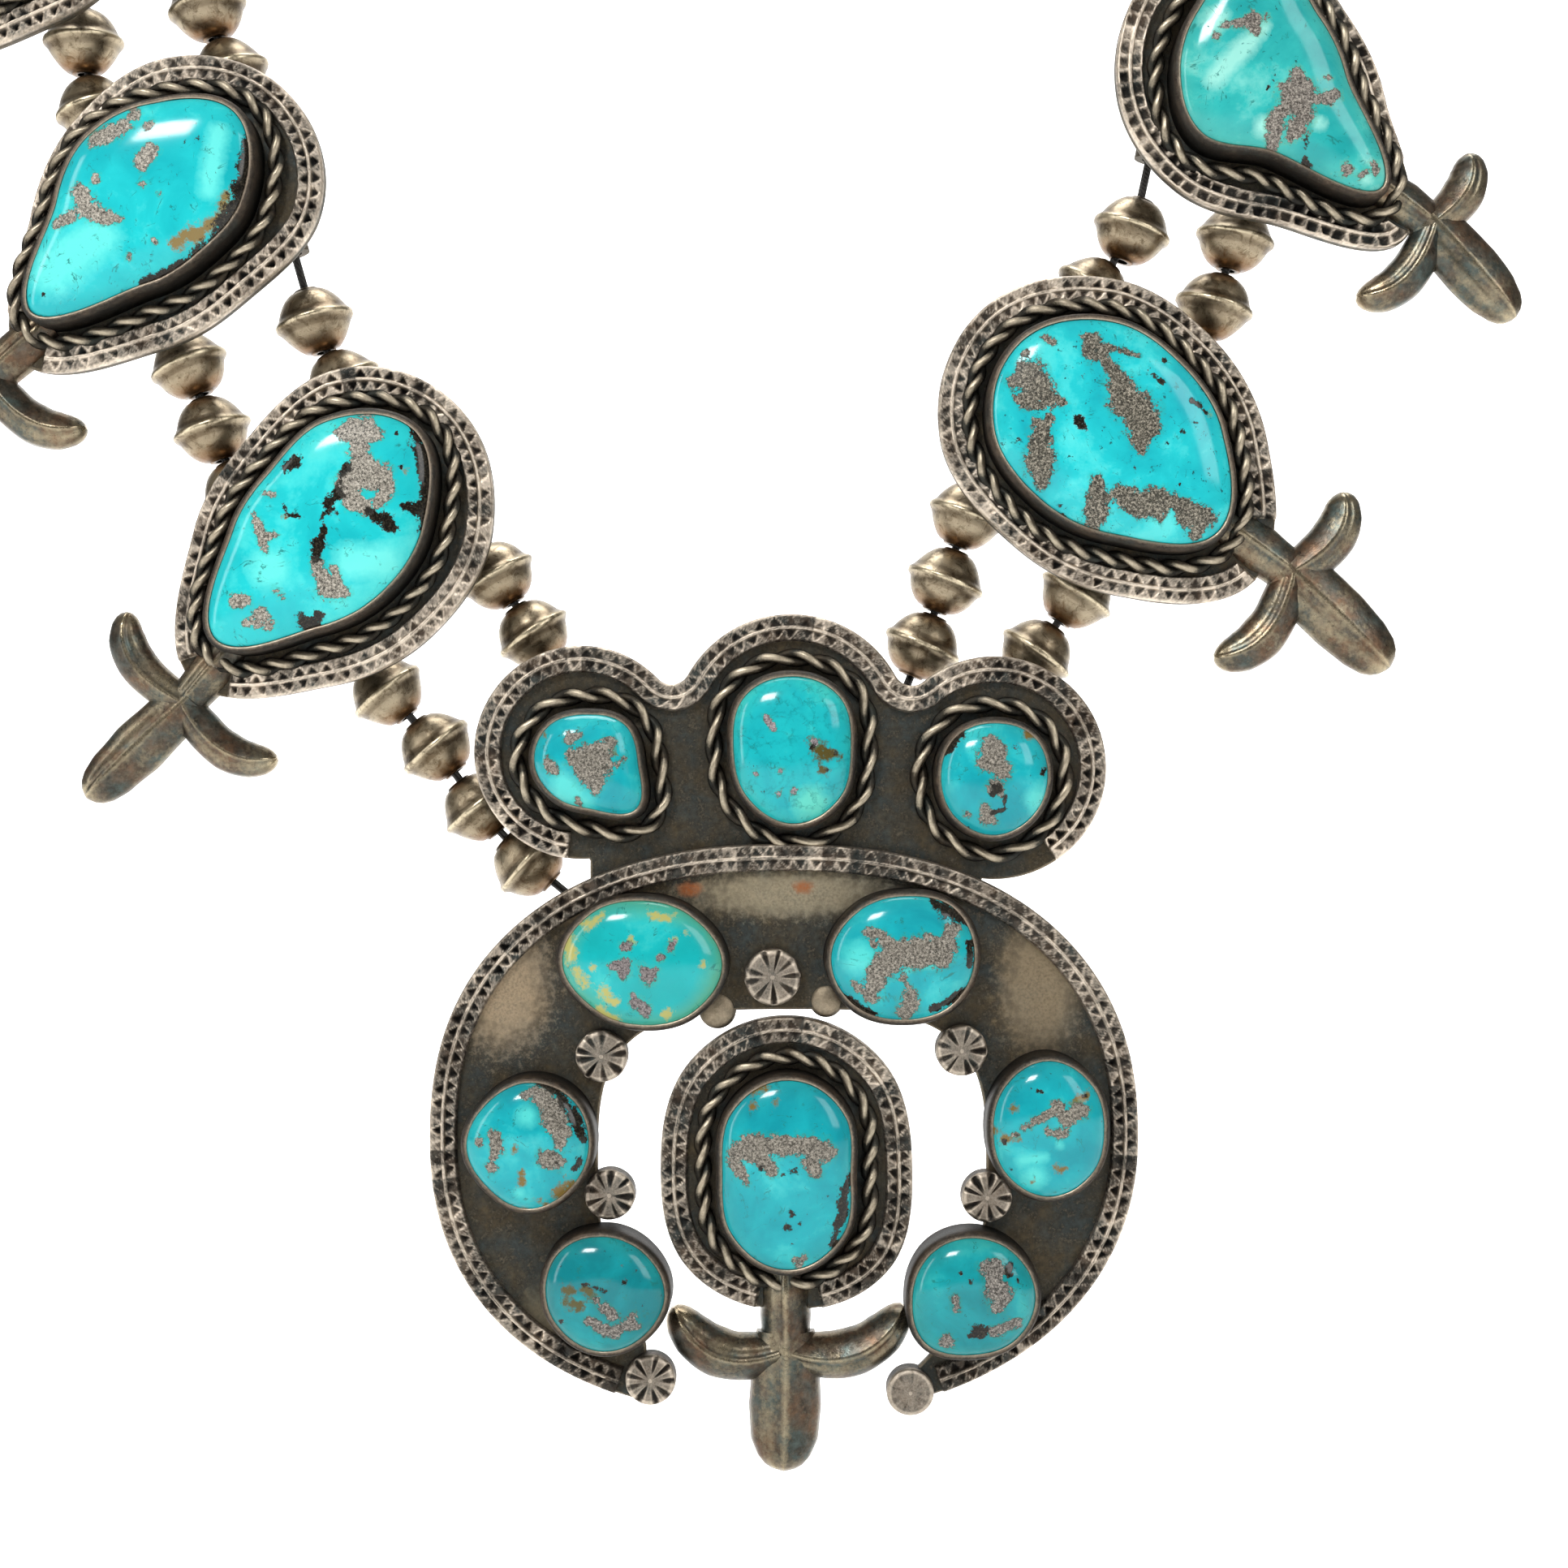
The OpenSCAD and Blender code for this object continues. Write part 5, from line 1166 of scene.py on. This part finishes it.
def makeNajaSheet():
    store = newStore()
    footLeft, footRight, footLow = crownFoot
    startTurn = -math.acos((footRight - lobes[2][0]) / lobes[2][2])
    stopTurn = math.pi + math.acos(-(footLeft - lobes[0][0]) / lobes[0][2])
    edge = np.vstack([crownEdge(0, startTurn, stopTurn), [[footLeft, footLow], [footRight, footLow]]])
    addSheet(store, resampled(edge, najaSides["crown"])[0] + move, sheet["back"], h["crown"], sheetSkin)
    outer, inner = (openedPath(ovalPath(*crescent[rim]), crescent["gap"], crescent["foot"])
                    for rim in ("outer", "inner"))
    edge = resampled(np.vstack([outer, inner[::-1]]), najaSides["crescent"])[0]
    addSheet(store, edge + move, h["crescentBack"], h["crescent"], sheetSkin)
    addSheet(store, pendantPlate + move, h["crescentBack"], h["crescent"], sheetSkin)
    addHangers(store, "naja_setting")
    # Supports between crescent and pendant: small domed pads
    ring = circle(najaSides["support"])
    for sx, sy, sr in supports:
        grid = np.stack([lifted(ring * sr * q + (sx, sy) + move, z) for q, z, w in supportRings])
        worn = np.array([w for q, z, w in supportRings])[:, None] * np.ones(len(ring))
        addGrid(store, grid, sheetSkin, closeColumns=True, worn=worn)
        addCap(store, grid[-1], sheetSkin, worn=0.8)
        addCap(store, grid[0], sheetSkin, flip=True)
    makeObject("naja_sheet", store, silver, ["naja_setting"])


# Where the pendant's petals cross its band
def underPetals(points):
    local = points - move - pendant["middle"]
    left, right, top = pendant["covered"]
    return (local[:, 0] > left) & (local[:, 0] < right) & (local[:, 1] < top)


def makeNajaBands():
    store = newStore()
    half = band["width"] / 2
    crownLine = crownEdge(half, *crownBandEnds)
    addBand(store, crownLine + move, h["crown"], "crown", bandSkin, closed=False, rub=-0.16)
    crescentLine = grown(ovalPath(*crescent["outer"]), -half)
    crescentLine = openedPath(crescentLine, crescent["bandGap"], crescent["foot"])
    addBand(store, crescentLine + move, h["crescent"], "crescent", bandSkin, closed=False, rub=-0.24)
    pendantLine = grown(pendantPlate, -half)
    addBand(store, pendantLine + move, h["crescent"], "pendant", bandSkin, gap=underPetals, rub=-0.2)
    makeObject("naja_band", store, silver, ["naja_setting"])


def makeNajaBezels():
    store = newStore()
    for name, row in najaStones.items():
        inCrown = name.startswith("crown")
        base = h["crown"] if inCrown else h["crescent"]
        edge = outline(row[2], row[3:], najaSides["bezel"]) + row[:2] + move
        addBezel(store, edge, base, name, bezelSkin)
        if not inCrown:
            plate = grown(edge, collar["out"])
            addSheet(store, plate, base - collar["down"], base + collar["up"], sheetSkin)
        if inCrown or name == "pendant":
            crest, loose = (wire["looseCrest"], wire["loose"]) if inCrown else (None, 0.0)
            addTwistedWire(store, grown(edge, wire["away"]), base, name, wireSkin, crest=crest, loose=loose)
    makeObject("naja_bezels", store, silver, ["naja_setting"])


def makeNajaStone(name, row):
    shift = np.array(row[:2]) + move
    base = h["crown"] if name.startswith("crown") else h["crescent"]
    makeStone(name, outline(row[2], row[3:], najaSides["stone"]), base, lambda q: q + shift, name)


makeNajaSheet()
makeNajaBands()
makeNajaBezels()
for stoneName, stoneRow in najaStones.items():
    makeNajaStone(stoneName, stoneRow)

# Buttons: small domes chased with wedge-shaped grooves
button = {"radius": 3.3, "grooves": 9, "sides": 108,
          # share of the radius and height of each ring
          "rings": [(1.0, -1.3), (1.0, 0.9), (0.985, 1.35), (0.93, 1.62), (0.85, 1.72), (0.78, 1.76),
                    (0.68, 1.82), (0.56, 1.88), (0.44, 1.92), (0.32, 1.95), (0.2, 1.96), (0.08, 1.97)]}
# x, y and share of the radius
buttons = [(-1.4, 19.6, 1.06), (-22.4, 9.9, 0.97), (21.8, 10.6, 0.96), (-21.4, -7.1, 0.94),
           (24.9, -7.4, 0.94), (-16.4, -29.8, 0.94), (15.5, -31.3, 0.88)]


def addButton(store, bx, by, share, plain):
    radius = button["radius"] * share
    turn = turnsOf(button["sides"])
    ring = circle(button["sides"])
    name = "button%d" % int(bx * 10)
    dice = random.Random(name)
    # each groove's direction, half width, depth and inner end
    cuts = [(2 * math.pi * (k + dice.uniform(-0.25, 0.25)) / button["grooves"], dice.uniform(0.09, 0.24),
             dice.uniform(0.45, 1.0) * (0.15 if plain else 1), dice.uniform(0.1, 0.35))
            for k in range(button["grooves"])]
    ring *= (1 + waver(turn, name, (3, 5, 8), 0.015))[:, None]
    grid, worn, pit = [], [], []
    for q, z in button["rings"]:
        cut, side = 0 * turn, 0 * turn
        for middle, half, depth, inner in cuts:
            off = np.abs((turn - middle + math.pi) % (2 * math.pi) - math.pi) / half
            reach = depth * ease(inner, inner + 0.4, q) * (1 - ease(0.94, 0.99, q))
            cut = np.maximum(cut, np.clip(1 - off, 0, 1) * reach)
            side = np.maximum(side, np.exp(-((off - 1.05) / 0.25) ** 2) * reach)
        grid.append(lifted(ring * radius * q + (bx, by) + move, h["crescent"] + z - 0.7 * cut))
        rub = 0.32 * ease(0.3, 1.6, z) + (0.4 if 0.84 < q < 0.99 else 0)
        worn.append(np.clip(rub + 0.45 * side - cut, 0, 1) + 0 * turn)
        pit.append(np.clip(0.85 * cut, 0, 0.8) + 0 * turn)
    grid = np.stack(grid)
    addGrid(store, grid, bandSkin, closeColumns=True, worn=np.stack(worn), pit=np.stack(pit))
    addCap(store, grid[-1], bandSkin, smooth=True, worn=0.6)
    addCap(store, grid[0], bandSkin, flip=True)


# The pendant's stem, its drop and its two arms: name, start, bend, end and width
cross = np.array([0.2, -26.2])
pendantPetals = [
    ("stem", cross + (0, 9.5), cross + (0, 4.75), cross + (0, -3.2), 6.4),
    ("drop", cross + (0, 2), cross + (0, -8), cross + (-0.3, -15.4), 9),
    ("leftArm", (-0.5, -26.6), (-9.5, -29.8), (-13.6, -21.4), 6.2),
    ("rightArm", (0.9, -26.6), (10.6, -29.4), (14.8, -21.2), 6.0),
]


def makeNajaOrnaments():
    store = newStore()
    for k, (bx, by, share) in enumerate(buttons):
        addButton(store, bx, by, share, plain=k == len(buttons) - 1)
    petalBase = h["crescentBack"] - 0.5
    for leaf, a, b, c, width in pendantPetals:
        addPetal(store, move + a, move + b, move + c, width, petalBase, leaf,
                 height=petal["pendantHeight"], skin=petalSkin)
    makeObject("naja_ornaments", store, silver, ["naja_setting"])


makeNajaOrnaments()
print("naja")

# Beads: two domed halves soldered along a flared seam, with a collar at each hole
beadProfile = [(-4.1, 0.92), (-4.1, 1.5), (-4.0, 1.62), (-3.86, 1.68), (-3.68, 2.3), (-3.28, 2.92),
               (-2.7, 3.48), (-2.0, 3.93), (-1.35, 4.2), (-0.95, 4.34), (-0.62, 4.56), (-0.34, 4.88),
               (-0.14, 5.0)]
beadProfile = beadProfile + [(-z, r) for z, r in reversed(beadProfile)]
beadSides = 30
beadPoints = 60     # a loose solid of the plain string with fewer points is no bead
stringRuns = ("inner_left", "outer_left", "inner_right", "outer_right")


# Each loose solid's middle and the way its string runs, read from the plain beads
def beadPlaces(node):
    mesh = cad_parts[node].data
    points = readOut(mesh.vertices, "co", 3, np.float32) * 1000
    keys, label = np.unique(np.round(points, 2), axis=0, return_inverse=True)
    label = label.reshape(-1)
    edges = label[readOut(mesh.edges, "vertices", 2, np.int32)]
    group = np.arange(len(keys))
    while True:
        low = np.minimum(group[edges[:, 0]], group[edges[:, 1]])
        after = group.copy()
        np.minimum.at(after, edges[:, 0], low)
        np.minimum.at(after, edges[:, 1], low)
        after = after[after]
        if (after == group).all():
            break
        group = after
    places = []
    for g in np.unique(group):
        own = keys[group == g][:, [0, 2]]
        if len(own) < beadPoints:
            continue
        middle = (own.min(0) + own.max(0)) / 2
        away = own - middle
        rim = away[np.argmax(np.linalg.norm(away, axis=1))]
        rim /= np.linalg.norm(rim)
        places.append((middle, np.array([-rim[1], rim[0]])))
    return places


def addBead(store, middle, way, name):
    dice = random.Random(name)
    if way[1] < 0:
        way = -way
    turn = turnsOf(beadSides)
    squash = 1 + sum(size * np.sin(w * turn + dice.uniform(0, 6.28)) for w, size in ((2, 0.012), (3, 0.008)))
    grid, worn, pit, stain = [], [], [], []
    lean = dice.uniform(-0.02, 0.02)
    # no two halves were sunk alike: some are low bowls, some nearly cones
    cone = (dice.uniform(0, 0.55), dice.uniform(0, 0.55))
    for z, r in beadProfile:
        if 0.6 < abs(z) < 3.7:
            r += cone[int(z > 0)] * (4.4 - 2.1 * (abs(z) - 0.95) / 2.7 - r)
        reach = r * (squash if 1.8 < r < 4.95 else 1)
        across = reach * np.cos(turn)
        lift = reach * np.sin(turn)
        seat = z + (lean * across if abs(z) < 1 else 0)
        x = middle[0] + seat * way[0] - across * way[1]
        y = middle[1] + seat * way[1] + across * way[0]
        grid.append(np.stack([x, y, lift], -1))
        seam = math.exp(-((r - 5.0) / 0.08) ** 2)
        neck = math.exp(-((abs(z) - 0.98) / 0.28) ** 2)
        worn.append(0.75 + 0.5 * seam - 0.45 * neck + (0.3 if r < 1.7 and abs(z) > 4 else 0) + 0 * turn)
        pit.append((0.25 * neck + (0.7 if 1.6 < r < 2.2 else 0) + (0.9 if r < 1 else 0)) + 0 * turn)
        stain.append(max(0.0, (-z - 1.6) / 2.2) + max(0.0, (z - 3.0) / 2.4) + 0 * turn)
    grid = np.stack(grid)
    addGrid(store, grid, 0, closeColumns=True, worn=np.stack(worn), pit=np.stack(pit), stain=np.stack(stain))
    # the wall of the hole joins the two collars
    addGrid(store, grid[[-1, 0]], 0, closeColumns=True, pit=1.0)


# Spun silver, worn by years on the neck: warm grey-olive with a soft cream sheen, rusty brown by the holes
def makeBeadSilver():
    material, tree = newMaterial("wornBeadSilver")
    inMm = inMillimetres(tree)
    broad = addNode(tree, "TexNoise", {"Vector": inMm, "Scale": 0.16, "Detail": 4, "Roughness": 0.6})
    fine = addNode(tree, "TexNoise", {"Vector": inMm, "Scale": 1.3, "Detail": 5, "Roughness": 0.7})
    worn, stain, pit = (addNode(tree, "Attribute", attribute_name=field).outputs["Fac"]
                        for field in ("worn", "stain", "pit"))
    patch = addNode(tree, "MapRange", {"Value": broad, "From Min": 0.35, "From Max": 0.65})
    colour = addNode(tree, "Mix", {"Factor": patch, 6: linearColour("#695b48"), 7: linearColour("#8b7f6b")},
                     data_type="RGBA")
    bare = addNode(tree, "Math", {0: fine, 1: 0.5, 2: worn}, operation="MULTIPLY_ADD")
    bare = addNode(tree, "MapRange", {"Value": bare, "From Min": 0.8, "From Max": 1.5})
    # brownish clouds and specks of old tarnish
    cloud = addNode(tree, "TexNoise", {"Vector": inMm, "Scale": 0.7, "Detail": 5, "Roughness": 0.75,
                                       "Distortion": 0.8})
    cloud = addNode(tree, "MapRange", {"Value": cloud, "From Min": 0.49, "From Max": 0.64, "To Max": 0.75})
    # small scratches and dirt in them
    dirt = addNode(tree, "TexNoise", {"Vector": inMm, "Scale": 2.6, "Detail": 4, "Roughness": 0.8})
    dirt = addNode(tree, "MapRange", {"Value": dirt, "From Min": 0.56, "From Max": 0.67, "To Max": 0.5})
    rust = addNode(tree, "Math", {0: stain, 1: -0.62}, operation="ADD")
    rust = addNode(tree, "Math", {0: fine, 1: 1.1, 2: rust}, operation="MULTIPLY_ADD")
    rust = addNode(tree, "MapRange", {"Value": rust, "From Min": 0.1, "From Max": 0.85, "To Max": 0.8})
    sunk = addNode(tree, "MapRange", {"Value": pit, "To Max": 0.85})
    for share, tint in ((bare, "#c6b99e"), (cloud, "#4a3c2b"), (dirt, "#2e271d"), (rust, "#6b4a2c"),
                        (sunk, "#17130f")):
        colour = addNode(tree, "Mix", {"Factor": share, 6: colour, 7: linearColour(tint)}, data_type="RGBA")
    rough = addNode(tree, "Math", {0: fine, 1: 0.3, 2: 0.18}, operation="MULTIPLY_ADD")
    bump = addNode(tree, "Bump", {"Height": fine, "Strength": 0.2, "Distance": 0.0002})
    finishMaterial(tree, addNode(tree, "BsdfPrincipled", {
        "Base Color": colour, "Metallic": 1.0, "Roughness": rough, "Normal": bump}))
    return material


beadSilver = makeBeadSilver()
for run in stringRuns:
    store = newStore()
    for k, (middle, way) in enumerate(beadPlaces("beads_" + run)):
        addBead(store, middle, way, "%s%d" % (run, k))
    made = makeObject("bead_string_" + run, store, [beadSilver], ["beads_" + run])
    print("beads", run, len(made.data.polygons))


# Thread: waxed black cord, matt with a faint twist
def makeThread():
    material, tree = newMaterial("waxedBlackThread")
    inMm = inMillimetres(tree)
    fibre = addNode(tree, "TexWave", {"Vector": inMm, "Scale": 1.1, "Distortion": 2.0, "Detail": 3},
                    bands_direction="DIAGONAL")
    colour = addNode(tree, "Mix", {"Factor": fibre.outputs["Fac"], 6: linearColour("#0d0c0b"),
                                   7: linearColour("#2b2723")}, data_type="RGBA")
    bump = addNode(tree, "Bump", {"Height": fibre.outputs["Fac"], "Strength": 0.4, "Distance": 0.0002})
    surface = {"Base Color": colour, "Roughness": 0.7, "Normal": bump}
    finishMaterial(tree, addNode(tree, "BsdfPrincipled", surface))
    return material


thread = makeThread()
for run in stringRuns:
    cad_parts["thread_" + run].material_slots[0].material = thread
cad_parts["clasp"].material_slots[0].material = beadSilver
print("threads and clasp")
